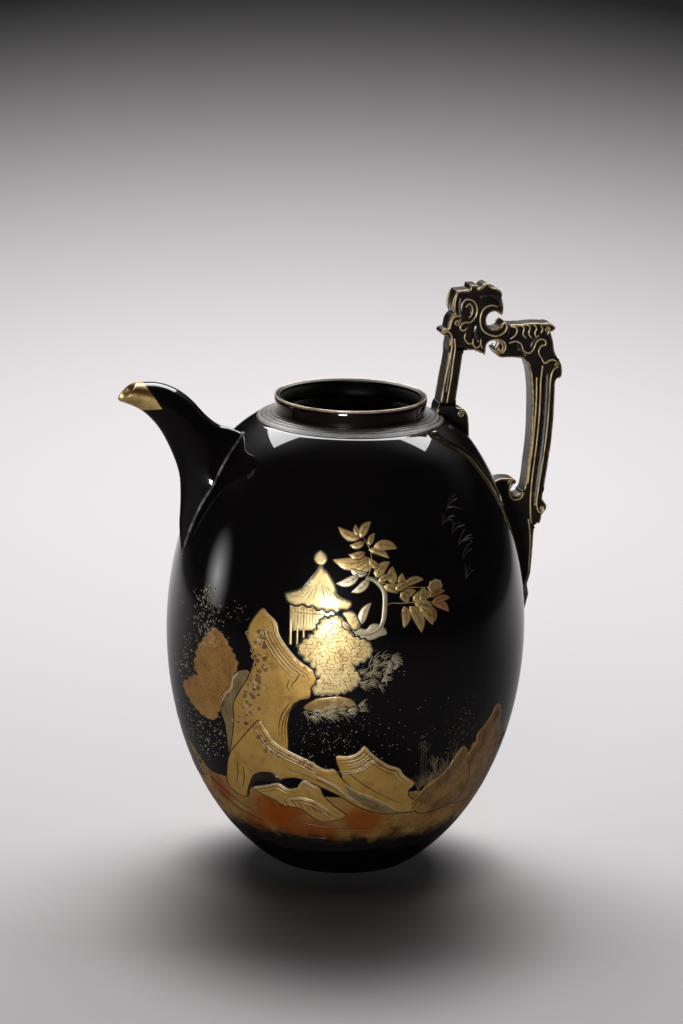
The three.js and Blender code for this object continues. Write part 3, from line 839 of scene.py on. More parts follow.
CREST = measured_from(FRONT_X, BEAM_LEVEL, [
    (1.9, 0), (0.9, 0, -0.5, 0.3), (-2.3, 0.8, -1.9, 2.2), (-1.1, 3.6, 0.7, 3.3), (1.2, 5.8),
    (1.7, 9, 4, 10.3), (3.4, 11.4), (2.8, 16, 4.7, 20.8), (10.7, 21.2), (11.1, 23.3),
    (14.3, 23.3), (14.8, 21.6), (16.3, 21.8, 17.1, 23), (18.5, 24.3, 19.7, 23.6),
    (20.7, 21.8, 23.3, 21.6), (26.5, 20.4, 26.5, 18.2), (26.1, 16.8, 26.7, 15.3),
    (27.7, 12.4, 27, 9.4), (26.6, 8.6, 26.3, 8.8), (24.6, 10.8, 22.6, 10.6),
    (19.4, 10.2, 19.2, 6.8), (19.3, 3, 23, 2.6), (25.6, 2.6, 26.9, 5), (27.6, 6.2),
    (29.6, 5.4, 29.6, 4), (29.6, 0)])
BACK_POST = (
    measured_from(BACK_X, HEEL_TOP, [(-2.6, 0), (-1.6, 5, -1.1, 13), (0.4, 25, 0.1, 35)])
    + measured_from(BACK_X, BACK_TOP, [
        (0.2, -12, -1.8, -4.4), (-2.8, -1.4, -3.4, 0), (12, 0), (14.4, -3, 14.2, -6.4),
        (14.3, -9.2, 13, -9.4), (11.2, -9.2, 11, -12.4)])
    + measured_from(BACK_X, HEEL_TOP, [(11.2, 29, 9.4, 17), (8.4, 8, 7.1, 0)]))
HEEL = (
    measured_from(BACK_X, HEEL_TOP, [
        (-20, 2), (-19.6, 5.6), (-16.6, 4.9), (-14.4, 6.7, -11, 6.3), (-6.8, 6.3, -6.1, 4.5),
        (-6.2, 3.3, -7.6, 3.2), (-9.6, 2.7, -9.3, 0.7), (-8.6, -1.8, -5.8, -1.8),
        (-3.8, -1.6, -3, 0), (7, 0)])
    + measured_from(BACK_X, TAIL_TOP, [
        (6.6, 13), (7.4, 11.6, 8.6, 10.2), (9.4, 8.2, 7.6, 6.6), (6.6, 5.2),
        (6.4, 2.6, 5.5, 1.2), (3.9, 2, 2.3, 0), (-11, 0), (-14, 8)]))


def tail_outline():
    proud = [(0, 11.6), (-4, 10.2), (-12, 8.2), (-22, 6), (-27.5, 3.9), (-32, 4.4), (-41, 1.9)]
    outer = [(egg_radius(TAIL_TOP + down) + out, TAIL_TOP + down) for down, out in proud]
    inner = [(egg_radius(TAIL_TOP + down) - 2, TAIL_TOP + down) for down in (-41, -28, -14, 0)]
    return outer + inner


print("beam at", BEAM_LEVEL, "mm, back post from", HEEL_TOP, "to", BACK_TOP)

# %% [markdown]
# A carved plate starts as its outline with many points inside it, joined to triangles.
# Each point then gets its height on the face: points near the edge sink to round it, and
# a carving function cuts flutes and hollows into the middle. A second value, stored with
# each point, says how gilt the place is, because the carver's gold sits on the edges. Two
# such faces and three bands between them make the piece. The bands near the faces are
# narrow, so that the gilding stops there and the sides stay black.

# %% Carved plates
random.seed(7)
EDGE_ROUND = 0.9
EDGE_GILDING = 1.3
GILDING_REACH = 0.95
CARVING_STARTS = 1.2
SIDE_BAND = 0.7


def fill_outline(ring, pitch, more=()):
    """Triangles inside a closed ring, with extra points about a pitch apart."""
    points = [Vector(p) for p in ring] + list(more)
    border = [(i, (i + 1) % len(ring)) for i in range(len(ring))]
    low = Vector((min(p.x for p in ring), min(p.y for p in ring)))
    high = Vector((max(p.x for p in ring), max(p.y for p in ring)))
    row = 0
    z = low.y + pitch / 2
    while z < high.y:
        x = low.x + (pitch / 2 if row % 2 else 0)
        while x < high.x:
            points.append(Vector((x, z)))
            x += pitch
        z += pitch * 0.866
        row += 1
    found = geometry.delaunay_2d_cdt(points, border, [], 1, pitch * 0.02)
    return found[0], found[2]


def edges_of(ring):
    return [(ring[i - 1], ring[i]) for i in range(len(ring))]


def distance_to_edges(point, edges):
    nearest = 1e9
    for a, b in edges:
        side = b - a
        share = max(0.0, min(1.0, (point - a).dot(side) / max(side.length_squared, 1e-9)))
        nearest = min(nearest, (point - a - side * share).length_squared)
    return math.sqrt(nearest)


def distance_to_ring(point, ring):
    return distance_to_edges(point, edges_of(ring))


def edge_drop(distance):
    """How far the rounded edge lies below the face at a distance from the outline."""
    if distance >= EDGE_ROUND:
        return 0.0
    share = 1 - distance / EDGE_ROUND
    return EDGE_ROUND * (1 - math.sqrt(max(0.0, 1 - share * share)))


def carved_plate(name, ring, finish, nodes, free_edges, carve, pitch):
    flat, triangles = fill_outline(ring, pitch)
    depths, gilding = [], []
    for p in flat:
        distance = distance_to_edges(p, free_edges)
        cut, gold = carve(p.x, p.y)
        depths.append(edge_drop(distance) + cut * min(1.0, distance / CARVING_STARTS))
        gilding.append(max(gold, EDGE_GILDING - distance / GILDING_REACH))
    points, values = [], []
    for side in (-1, 1):
        points += [(p.x, side * (PLATE_HALF - depth), p.y) for p, depth in zip(flat, depths)]
        values += gilding
    count = len(flat)
    faces = [tuple(t) for t in triangles]
    faces += [tuple(count + i for i in reversed(t)) for t in triangles]
    edges = dict.fromkeys((a, b) for t in triangles for a, b in zip(t, t[1:] + t[:1]))
    rim = [(a, b) for a, b in edges if (b, a) not in edges]
    near, far = {}, {}
    for side, band in ((-1, near), (1, far)):
        for a, _ in rim:
            band[a] = len(points)
            points.append((flat[a].x, side * (PLATE_HALF - EDGE_ROUND - SIDE_BAND), flat[a].y))
            values.append(0.0)
    for a, b in rim:
        faces += [(b, a, near[a], near[b]), (near[b], near[a], far[a], far[b]),
                  (far[b], far[a], count + a, count + b)]
    piece = lay_piece(name, points, faces, finish, nodes)
    layer = piece.data.attributes.new("gilding", "FLOAT", "POINT")
    layer.data.foreach_set("value", [max(0.0, min(1.0, v)) for v in values])
    return piece


# %% [markdown]
# The carved wood has the same black lacquer, but hands have rubbed it, and its raised
# edges were dusted with gold that is now olive brown. The stored gilding is broken up by
# a noise, so that the gold is patchy as on the real handle.

# %% Carved lacquer


def carved_lacquer():
    recipe = Recipe("carved_lacquer")
    gilt = recipe.node("Attribute", {"attribute_name": "gilding"}, output="Fac")
    patches = recipe.noise(2.2, detail=5, roughness=0.6)
    grain = recipe.noise(0.3, detail=2)
    mask = (gilt + (patches - 0.5) * 0.5).above(0.5, 0.2)
    clouds = recipe.noise(6, detail=4)
    black = recipe.mixed(clouds.above(0.5, 0.2), (0.0035, 0.003, 0.0035), (0.016, 0.010, 0.006))
    gold = recipe.mixed(patches.above(0.5, 0.25), (0.20, 0.11, 0.03), (0.62, 0.46, 0.22))
    bump = recipe.relief(grain, 0.02, recipe.relief(patches, 0.12))
    return recipe.finish(base_color=recipe.mixed(mask, black, gold),
                         metallic=mask * 0.4, roughness=0.32 + mask * 0.1 + patches * 0.1,
                         coat_weight=0.45, coat_roughness=0.12, normal=bump)


handle_finish = carved_lacquer()
line_gold = gold_powder("line_gold", (0.80, 0.64, 0.36), (0.44, 0.29, 0.11), worn=0.45, grain=0.5,
                        metal=0.35, roughness=0.3)


# %% [markdown]
# The carver ran long hollows down both posts, and cut flame-like flutes into the beam. A
# hollow follows a line: the cut is deepest on the line and fades towards its sides. Each
# hollow has a width and a depth beside its line. The raised lines beside the hollows are
# gilt beads, and some roll up at their ends. The lines are the same on both faces of the
# plate. All numbers are mm on the plate, from the ewer's axis and from the table. An edge
# that lies against a neighbouring piece is neither rounded nor gilt.

# %% Lines of the carving
GOLD_LINES = [
    [(41.6, 246), (43.6, 246.9), (45.5, 245), (45.9, 240.5), (45.1, 234.4), (43.7, 227.4),
     (42.4, 219.7), (41.6, 214)],
    [(46.9, 243.6), (47.4, 239), (46.7, 232.7), (45.9, 225), (44.8, 217.3), (44.2, 213.4)],
    [(47.8, 264.6), (46.4, 261.8), (46, 258), (47, 254.6)],
    [(50, 254.3), (46.6, 253.4), (45.2, 251), (44.8, 248)],
    [(50, 256.3), (50.1, 259.4), (52.2, 261.5), (55.3, 260.8), (57.3, 257.6), (56.9, 253.7),
     (54.5, 250.9), (51.6, 250.8), (49.6, 249.2), (50, 247.4), (51.9, 247.2), (53, 248.6)],
    [(52, 257.8), (53.6, 259.4), (55.1, 257.6), (55, 254.6), (53.3, 252.8)],
    [(67.4, 257.4), (64.3, 258.4), (60.6, 256.8), (59, 252.6), (59.9, 247.6), (63.1, 244.9),
     (67.5, 244), (71, 245.9), (71.8, 248.8), (70.5, 250), (69.2, 248.9)],
    [(52.3, 246), (51.8, 243.4), (53.6, 241), (55.9, 240.9)],
    [(56, 243.4), (55.9, 240.4), (57.8, 238.8), (59.4, 240.2)],
    [(59.6, 243), (59.6, 240.2), (60.6, 238.2)],
    [(66.8, 241.6), (69.4, 240.6), (70.3, 238.4), (69.4, 236.8), (68, 237.6), (68.6, 238.8)],
    [(73.3, 248.4), (76.4, 247.4), (76.5, 244.9), (74.7, 243), (73.5, 242.4)],
    [(77.9, 248.8), (80.1, 247.4), (79.6, 244.4), (81.4, 242.4)],
    [(81.4, 248.8), (83, 247.4), (82.3, 244.7), (83.9, 242.4)],
    [(84.8, 248.6), (86.1, 246.9), (85.3, 244.6), (86.3, 242.4)],
    [(88, 248.2), (89, 246.4), (88, 244.4)], [(91.4, 247.8), (92.2, 246), (91.2, 243.6)],
    [(73.1, 240.4), (76.3, 241.2), (79, 239.7), (80, 236.8), (82.5, 235.4), (84.8, 237),
     (86.3, 240.6), (88.5, 241.8), (90.6, 240.8), (90.4, 238.8), (88.8, 238.8), (87.4, 236),
     (88.3, 233.4)],
    [(88.6, 233.4), (90.5, 230.4), (92.6, 231.6), (95, 231.8), (96.6, 230.4)],
    [(89.6, 229.6), (88.9, 221.8), (88.9, 213.9), (88.5, 202.2), (87.6, 190.5), (86.4, 178.7),
     (85.9, 172), (85.7, 166), (86, 158.4), (86.6, 155)],
    [(97.4, 228.4), (95, 227.4), (93.6, 223), (93.3, 213.8), (92.8, 202.1), (91.8, 190.3),
     (90.2, 178.6), (89.3, 171), (88.8, 164), (90, 160.4), (91.8, 160.6), (92.2, 162.4),
     (91, 163)],
    [(86.8, 224), (87, 213.8), (86.6, 202), (85.8, 190.4), (84.7, 180), (84.2, 174)],
    [(82.6, 169.8), (80.6, 167), (77.4, 166.8), (75.8, 168.8), (75.6, 171.6), (77, 173.6)]]
HOLLOWS = [
    ([(45.6, 240), (45.2, 234), (44.4, 227), (43.4, 219)], 0.6, 0.5),
    ([(91.2, 225), (91.1, 214), (90.7, 202), (89.8, 190), (88.4, 178), (87.6, 171), (87.2, 164)],
     1.3, 0.7),
    ([(76.4, 239.4), (77.9, 237), (80.5, 234.6)], 1.0, 0.6),
    ([(83, 238.6), (84.2, 241), (86.6, 243.4)], 0.9, 0.6),
    ([(52.2, 256), (53.6, 257.6), (54, 255)], 0.9, 0.5),
    ([(48.6, 262), (48.4, 257), (49, 252)], 1.0, 0.5),
    ([(58.6, 262), (62, 262.8), (66, 262), (68.6, 258)], 1.2, 0.5),
    ([(56.4, 249), (56, 246), (57.6, 242)], 1.0, 0.6)]
HOLLOW_PATHS = [(curve_through(knots, 2.0), width, depth) for knots, width, depth in HOLLOWS]
HOLLOW_DEPTH = 0.7
HOLLOW_GILDING = 0.34
JOINT_REACH = 1.7


def carved_hollows(x, z):
    """The depth of the cut at a place, and how gilt it is."""
    deepest, gold = 0.0, 0.0
    for path, width, depth in HOLLOW_PATHS:
        if abs(path[0].x - x) < 16 and min(path[0].y, path[-1].y) - 2 < z:
            share = distance_to_edges(Vector((x, z)), list(zip(path, path[1:]))) / width
            if share < 1:
                deepest = max(deepest, HOLLOW_DEPTH * depth * (1 - share * share) ** 1.5)
                gold = max(gold, HOLLOW_GILDING * (1 - share ** 4))
    return deepest, gold


RINGS = {name: drawn(steps) for name, steps in (
    ("front_foot", FRONT_FOOT), ("front_post", FRONT_POST), ("crossbeam", CROSSBEAM),
    ("crest", CREST), ("back_post", BACK_POST), ("heel", HEEL), ("tail", tail_outline()))}


def free_edges_of(name):
    """The edges of an outline that don't lie against a neighbouring piece."""
    others = [edge for other, ring in RINGS.items() if other != name for edge in edges_of(ring)]
    return [(a, b) for a, b in edges_of(RINGS[name])
            if distance_to_edges((a + b) / 2, others) > JOINT_REACH]


FREE_EDGES = {name: free_edges_of(name) for name in RINGS}
handle_pieces = [
    carved_plate(name, ring, handle_finish, ("handle_" + name,), FREE_EDGES[name],
                 carved_hollows, pitch=0.8 if name in ("front_foot", "tail") else 0.45)
    for name, ring in RINGS.items()]
print("handle pieces", [len(piece.data.polygons) for piece in handle_pieces])

# %% [markdown]
# A bead needs to know how low the plate is below it, since the plate's edges are rounded.
# It is thinner at its ends. Each small round scroll is a domed disc with a spiral bead on
# it, on both faces.

# %% Gilt beads and scrolls
BEAD = 0.4
SPIRAL_BEAD = 0.22
SPIRAL_TURNS = 1.6
KNOB_PROUD = 0.24
DISC_RINGS = 5
SCROLLS = [(51.3, 208.2, 2.2), (91.4, 246, 1.7), (48.3, 250.6, 2.0), (75.4, 174.9, 1.5),
           (91.4, 162, 1.3), (96.2, 229.4, 1.3)]


def plate_level(point):
    """The half thickness of the plate at a place: less near an edge."""
    distance = min(distance_to_edges(point, edges) for edges in FREE_EDGES.values())
    return PLATE_HALF - edge_drop(max(distance, 0.12))


def gilt_bead(collected, knots, radius=BEAD, smooth=True, raised=0.0):
    path = curve_through(knots) if smooth else knots
    for side in (-1, 1):
        line = [Vector((p.x, side * (plate_level(p) + radius * 0.15 + raised), p.y)) for p in path]
        thin = [radius * (0.55 + 0.45 * min(1, i / 2, (len(line) - 1 - i) / 2))
                for i in range(len(line))]
        collected.append(tube(line, thin, lambda p: Vector((0, 1, 0)), sides=8))


def spiral(x, z, radius):
    whole = 2 * math.pi * SPIRAL_TURNS
    return [Vector((x, z)) + heading(turn) * radius * (1 - 0.8 * turn / whole)
            for turn in between(0, whole, 30)]


def domed_disc(x, z, radius, side, sides=28):
    """A low dome that stands on the face of the plate."""
    points = [Vector((x, side * (PLATE_HALF + KNOB_PROUD), z))]
    for ring in range(1, DISC_RINGS + 1):
        share = ring / DISC_RINGS
        level = PLATE_HALF + KNOB_PROUD * (1 - share ** 4) - (0.4 if ring == DISC_RINGS else 0)
        for turn in turns_around(sides):
            points.append(Vector((x + radius * share * math.cos(turn), side * level,
                                  z + radius * share * math.sin(turn))))
    faces = [(0, 1 + k, 1 + (k + 1) % sides) for k in range(sides)]
    faces += [tuple(1 + i for i in face) for face in strip_faces(DISC_RINGS, sides, around=True)]
    return points, faces


def lay_collected(name, collected, finish):
    points, faces = [], []
    for some_points, some_faces in collected:
        first = len(points)
        points += some_points
        faces += [tuple(first + i for i in face) for face in some_faces]
    return lay_piece(name, points, faces, finish)


beads, discs = [], []
for knots in GOLD_LINES:
    gilt_bead(beads, knots)
tail_line = [(egg_radius(TAIL_TOP + down) + out - 1.5, TAIL_TOP + down) for down, out in
             ((4, 10.8), (-3, 10), (-12, 8.2), (-22, 6), (-27.5, 4), (-32, 4.3), (-38, 2.6))]
gilt_bead(beads, tail_line)
for x, z, radius in SCROLLS:
    gilt_bead(beads, spiral(x, z, radius * 0.8), radius=SPIRAL_BEAD, smooth=False, raised=0.16)
    discs += [domed_disc(x, z, radius, side) for side in (-1, 1)]
lay_collected("handle_lines", beads, line_gold)
lay_collected("handle_scrolls", discs, handle_finish)
print("beads", len(beads), "scroll discs", len(discs))

# %% [markdown]
# The painted scene is raised gold lacquer, maki-e: each form is built up a little over the
# black with powder and lacquer, then sprinkled with gold. It is a common stock garden
# scene: a leaning rock, a small pavilion, a clipped shrub, a leafy branch and low ground.
# Here it is drawn with thin shapes on the skin. A place on the skin has two numbers in mm:
# how far it lies to the right of the middle, and its height. Another bearing, in degrees,
# turns a drawing round the body. Each layer has its own height above the black, in the
# order in which the painter built them up, and the edges of a shape sink a little into
# the black.

# %% Places on the skin
GROUND_LIFT = 0.05
FAR_LIFT = 0.09
ROCK_LIFT = 0.14
NEAR_LIFT = 0.19
LINE_LIFT = 0.25
SUNK = -0.04
LEAF_BEND = 0.12


def on_skin(across, height, lift=0.0, bearing=0.0):
    radius = body_radius(height) - SKIN_INSET + lift
    turn = math.asin(max(-0.999, min(0.999, across / radius))) + math.radians(bearing)
    at = rightward * math.sin(turn) + toward * math.cos(turn)
    return Vector((at.x * radius, at.y * radius, height))


def scalloped(knots, bulge=0.3, pitch=0.5):
    """A closed ring whose sides swell outwards, as on a clipped shrub."""
    pairs = list(zip(knots, knots[1:] + knots[:1]))
    way = 1 if sum(a[0] * b[1] - b[0] * a[1] for a, b in pairs) > 0 else -1
    ring = []
    for a, b in pairs:
        a, b = Vector(a), Vector(b)
        side = b - a
        out = Vector((side.y, -side.x)) * way * bulge
        for share in between(0, 1, max(3, round(side.length / pitch)))[:-1]:
            ring.append(a + side * share + out * math.sin(math.pi * share))
    return ring


def way_at(path, i):
    return path[min(i + 1, len(path) - 1)] - path[max(i - 1, 0)]


def beside(path, offset):
    """The path, moved sideways to its left by an offset in mm."""
    return [p + leftward(way_at(path, i)) * offset for i, p in enumerate(path)]


def places_inside(knots, pitch, margin):
    """Evenly spread places inside a closed ring, at least a margin from its edge."""
    ring = [Vector(p) for p in knots]
    flat, triangles = fill_outline(ring, pitch)
    used = sorted({i for triangle in triangles for i in triangle if i >= len(ring)})
    return [flat[i] for i in used if distance_to_ring(flat[i], ring) > margin]


class Relief:
    """Collects raised forms of one finish, and lays them on the skin as one piece."""

    def __init__(self, bearing=0.0):
        self.points, self.faces, self.bearing = [], [], bearing

    def add(self, points, faces):
        first = len(self.points)
        self.points += points
        self.faces += [tuple(first + i for i in face) for face in faces]

    def form(self, ring, lift=ROCK_LIFT, edge=0.35, pitch=2.4):
        """A flat form with a bevelled edge, inside a closed ring."""
        inner = []
        for i, p in enumerate(ring):
            way = ring[(i + 1) % len(ring)] - ring[i - 1]
            if way.length > 0:
                inner += [p + leftward(way) * edge, p - leftward(way) * edge]
        kept = [p for p in inner if distance_to_ring(p, ring) > edge * 0.9]
        flat, triangles = fill_outline(ring, pitch, kept)
        points = []
        for p in flat:
            share = min(1.0, distance_to_ring(p, ring) / edge)
            points.append(on_skin(p.x, p.y, SUNK + (lift - SUNK) * share, self.bearing))
        self.add(points, [tuple(t) for t in triangles])

    def ribbon(self, path, half_widths, section):
        """A low ridge along a path. The section gives its points from side to side."""
        points = []
        for i, p in enumerate(path):
            way = way_at(path, i)
            side = leftward(way) if way.length else Vector((0, 1))
            for across, lift in section:
                q = p + side * half_widths[i] * across
                points.append(on_skin(q.x, q.y, lift, self.bearing))
        self.add(points, strip_faces(len(path), len(section), around=False))

    def stroke(self, path, width=0.4, lift=ROCK_LIFT, taper=True):
        """One stroke of the brush, thin at its end."""
        path = [Vector(p) for p in path]
        halves = []
        for share in between(0, 1, len(path) - 1):
            swell = math.sin(math.pi * min(1.0, share * 0.8 + 0.2)) ** 0.6 if taper else 1.0
            halves.append(width / 2 * swell)
        self.ribbon(path, halves, [(-1, SUNK), (-0.8, lift), (0.8, lift), (1, SUNK)])

    def outline(self, ring, width, lift):
        """A dark edge round a form, which parts it from what lies behind it."""
        self.stroke(ring + ring[:2], width * 2, lift, taper=False)

    def leaf(self, base, tip, width, lift):
        """A flat leaf with bevelled edges."""
        base, tip = Vector(base), Vector(tip)
        along = tip - base
        side = leftward(along) * LEAF_BEND * along.length
        path, halves = [], []
        for share in between(0, 1, 9):
            path.append(base + along * share + side * math.sin(math.pi * share))
            halves.append(width / 2 * math.sin(math.pi * share ** 0.8) ** 0.75 + 0.03)
        self.ribbon(path, halves, [(-1, lift - 0.05), (-0.9, lift), (0.9, lift), (1, lift - 0.05)])

    def dot(self, at, radius, lift, foot=-0.03, sides=8):
        """A low dome. Its foot is the level of what it stands on."""
        points = [on_skin(at[0], at[1], lift, self.bearing)]
        for turn in turns_around(sides):
            points.append(on_skin(at[0] + radius * math.cos(turn), at[1] + radius * math.sin(turn),
                                  foot, self.bearing))
        self.add(points, [(0, k + 1, (k + 1) % sides + 1) for k in range(sides)])

    def piece(self, name, gold, slot="gilt"):
        lay_piece(name, self.points, self.faces, golds[gold])
        print(name, len(self.faces), "faces")


# %% [markdown]
# The golds differ. The pavilion and the shrub got the purest powder, the rocks a deeper
# one, and the low ground was dusted thinly over red lacquer, so that it glows orange in
# blots. Fine strokes are a paler gold. Between forms that overlap the painter left a dark
# edge. Each finish has a bright and a deep tone, and says how worn it is, how coarse its
# grain is, and how much it shines like metal.

# %% The golds of the scene
RED_BLOTS = [(on_skin(across, height), reach) for across, height, reach in (
    (-32, 37, 12), (-22, 40, 8), (10, 35, 12), (-10, 27, 13), (-55, 42, 9), (-38, 28, 9),
    (-24, 32, 12), (-30, 45, 7))]
GROUND_ENDS_AT = 27
GOLDS = [
    ("gold_bright", (0.86, 0.68, 0.34), (0.66, 0.46, 0.18), 0.3, 0.35, 0.75, 0.38),
    ("gold_of_leaves", (0.76, 0.54, 0.22), (0.52, 0.32, 0.10), 0.45, 0.35, 0.7, 0.4),
    ("gold_pale", (0.90, 0.76, 0.50), (0.72, 0.54, 0.30), 0.25, 0.35, 0.6, 0.36),
    ("gold_of_foliage", (0.44, 0.28, 0.09), (0.28, 0.16, 0.05), 0.4, 0.35, 0.6, 0.4),
    ("gold_of_rock", (0.80, 0.49, 0.135), (0.60, 0.33, 0.075), 0.5, 0.5, 0.65, 0.42),
    ("gold_of_facets", (0.42, 0.31, 0.15), (0.26, 0.17, 0.07), 0.6, 0.5, 0.6, 0.42),
    ("gold_of_shrub", (0.62, 0.32, 0.09), (0.42, 0.20, 0.05), 0.55, 0.45, 0.6, 0.44),
    ("gold_of_far_rock", (0.54, 0.30, 0.11), (0.28, 0.14, 0.05), 0.6, 0.45, 0.6, 0.42),
    ("moss_brown", (0.30, 0.17, 0.06), (0.13, 0.07, 0.024), 0.5, 0.35, 0.3, 0.4),
    ("gold_of_red_leaves", (0.62, 0.30, 0.12), (0.40, 0.15, 0.05), 0.5, 0.35, 0.6, 0.42),
    ("gold_dust", (0.66, 0.58, 0.40), (0.44, 0.36, 0.20), 0.2, 0.35, 0.5, 0.38),
    ("worn_dust", (0.22, 0.16, 0.09), (0.12, 0.08, 0.045), 0.5, 0.35, 0.5, 0.4),
    ("dark_edge", (0.030, 0.020, 0.012), (0.014, 0.009, 0.006), 0.3, 0.35, 0.1, 0.3),
    ("worn_gold", (0.050, 0.044, 0.038), (0.018, 0.015, 0.012), 0.8, 0.35, 0.2, 0.4)]
golds = {name: gold_powder(name, *values) for name, *values in GOLDS}
golds["gold_of_ground"] = gold_powder(
    "gold_of_ground", (0.62, 0.36, 0.11), (0.32, 0.15, 0.035), worn=0.7, grain=0.45,
    metal=0.6, roughness=0.44, blots=RED_BLOTS, ends_at=GROUND_ENDS_AT)

# %% [markdown]
# The leaning rock stands left of the middle. Behind its left side lies a duller facet, and
# at its foot a tongue of rock runs down to the right, over a fan-shaped low rock. Another
# rock with a peak stands beyond it. The edges that face the light carry pale raised lines,
# whose pale gold is partly a painted highlight, and some of them repeat inside the rock as
# shorter dark lines with a pale side, which is a painted highlight.

# %% Rocks
LEANING_ROCK = [
    (-37, 135.6), (-34, 133), (-31, 130.6), (-29.6, 125.5), (-27.6, 122), (-25, 118.8),
    (-20.6, 114.3), (-16.4, 111.6), (-13.8, 110), (-12.2, 105.2), (-14.4, 101.4), (-15.2, 97),
    (-19.5, 95.4), (-22.6, 92.2), (-24.3, 87.4), (-24.9, 81.5), (-24.4, 72), (-26, 64),
    (-34, 60), (-44, 56), (-50.6, 62), (-50, 70.5), (-49.2, 81), (-49.6, 88.7), (-46.8, 96),
    (-43.4, 102.4), (-40.6, 111), (-41.8, 116.7), (-43.6, 121), (-43.4, 125.4), (-40.8, 131)]
FACET = [
    (-42.6, 105.2), (-48, 104.6), (-50.4, 101), (-51, 96), (-53.9, 92.2), (-56.2, 87.6),
    (-55, 83), (-53.2, 77.7), (-52.2, 70.9), (-50.8, 62), (-47, 66), (-46, 90)]
TONGUE = [
    (-37.6, 83.4), (-34.5, 78.8), (-30.8, 73.9), (-24.6, 70.4), (-15.4, 66.4), (-8, 62.6),
    (-3, 62.4), (0.5, 57.2), (8.3, 50), (17.4, 44.1), (25.6, 38.6), (17.6, 39), (8.5, 42.5),
    (-0.7, 48.6), (-9.7, 53.1), (-18.8, 56.6), (-24.2, 56.2), (-28, 55), (-31.5, 57.7),
    (-37.6, 56.6), (-40.8, 52.6), (-42.3, 43), (-46, 42), (-51.6, 46.6), (-52, 55.8),
    (-50.6, 64), (-46, 72), (-41.5, 79)]
HOLLOW = [
    (-41, 52), (-38.8, 55.8), (-34.2, 57), (-30.2, 57), (-26.6, 54.2), (-33.3, 52.9),
    (-37.8, 51.9), (-40.6, 48.5), (-42.8, 42.2), (-42.6, 47.4)]
FAN_ROCK = [
    (-40.1, 48.4), (-33.2, 51.2), (-28.7, 53), (-24.2, 50.9), (-19.7, 52.1), (-17, 56),
    (-13.4, 54.2), (-9.7, 52.5), (-7.9, 48.4), (-3.3, 43.2), (2.2, 38.4), (-0.6, 35.8),
    (-9.4, 34.6), (-14.9, 37.9), (-18.6, 40.6), (-24, 41), (-30.4, 43.6), (-36.8, 46)]
PEAKED_ROCK = [
    (-2.9, 69), (3.4, 69.6), (7, 71.4), (10, 74.6), (14.1, 70), (20.4, 65), (25.4, 62.8),
    (28, 59), (32.8, 54), (30.2, 50.4), (31.4, 46), (38, 40.6), (34, 38.6), (25.7, 38.6),
    (8.5, 43), (2, 52), (-0.4, 60)]
GREY_SLOPE = [
    (1, 55), (8.3, 49.8), (13.8, 47.4), (19.3, 44), (25.7, 39), (19.4, 38.8), (12.1, 42.2),
    (4.8, 47.6)]
PALE_EDGES = [
    [(-36.8, 135.2), (-33.9, 132.6), (-31.2, 130.2), (-29.9, 125.4), (-27.8, 121.8),
     (-25.2, 118.4), (-20.8, 113.9), (-16.6, 111.3), (-14.4, 109.6), (-12.9, 105.4),
     (-14.6, 102.6)],
    [(-37.4, 83.2), (-34.4, 78.5), (-30.7, 73.5), (-24.6, 70.1), (-15.4, 66.1), (-8, 62.3),
     (-3.4, 62.1)],
    [(-2.6, 68.7), (3.4, 69.2), (7, 71), (9.9, 74), (12.6, 71)],
    [(-19.6, 51.8), (-17, 55.6), (-13.4, 53.9), (-9.9, 52.3)],
    [(-47.6, 104.2), (-50, 100.6), (-50.6, 96), (-53.4, 92), (-55.6, 87.4)],
    [(-39.6, 48.2), (-33.2, 50.8), (-28.7, 52.4), (-24.2, 50.4), (-19.7, 51.6)],
    [(1, 55.4), (8.3, 50.2), (13.8, 47.8), (19.3, 44.4), (25.7, 39.4)],
    [(10.4, 73.6), (14.1, 69.4), (20.4, 64.4), (25.4, 62.2), (27.6, 58.6), (32.2, 53.8)],
    [(-24, 45), (-18, 46.4), (-12, 45), (-6, 41), (-1, 37.4)],
    [(-11, 58.4), (-4, 55), (2, 50), (9, 44.6)]]
FINE_EDGES = [
    [(-19.6, 94.8), (-23.2, 91), (-25.4, 86.4), (-26, 80), (-25.6, 74)],
    [(-21.6, 94.4), (-25, 89.4), (-27, 84), (-27.4, 78), (-26.8, 74.6)],
    [(-24.4, 93.4), (-27.6, 87.6), (-28.8, 81.6), (-28.4, 77)],
    [(-2.2, 67.4), (3, 68), (7, 69.6), (9.8, 71.6), (13, 68.4), (19, 63.4), (24.6, 60.8)],
    [(2, 62), (8, 56.4), (15, 51), (22, 46.6), (28, 43)],
    [(-12, 60), (-6, 56.8), (0, 52), (8, 46)],
    [(-24, 61), (-16, 58.6), (-8, 55), (0, 50)],
    [(-20, 108), (-21.6, 104.6), (-23.4, 102.4), (-22.6, 99.6)],
    [(-24.6, 104.4), (-25.4, 101.4), (-24, 99.4)],
    [(-47.6, 60), (-47, 54), (-47.8, 48)],
    [(-44.6, 58), (-44.2, 52), (-45, 46)]]

dark = Relief()
facets = Relief()
facets.form(smooth_ring(FACET), FAR_LIFT)
facets.form(smooth_ring(GREY_SLOPE), NEAR_LIFT)
facets.piece("rock_facets", "gold_of_facets")

rocks = Relief()
for knots, lift in ((LEANING_ROCK, ROCK_LIFT), (PEAKED_ROCK, ROCK_LIFT), (TONGUE, 0.17),
                    (FAN_ROCK, NEAR_LIFT)):
    ring = smooth_ring(knots)
    rocks.form(ring, lift)
    dark.outline(ring, 0.3, lift - 0.03)
rocks.piece("rocks", "gold_of_rock")

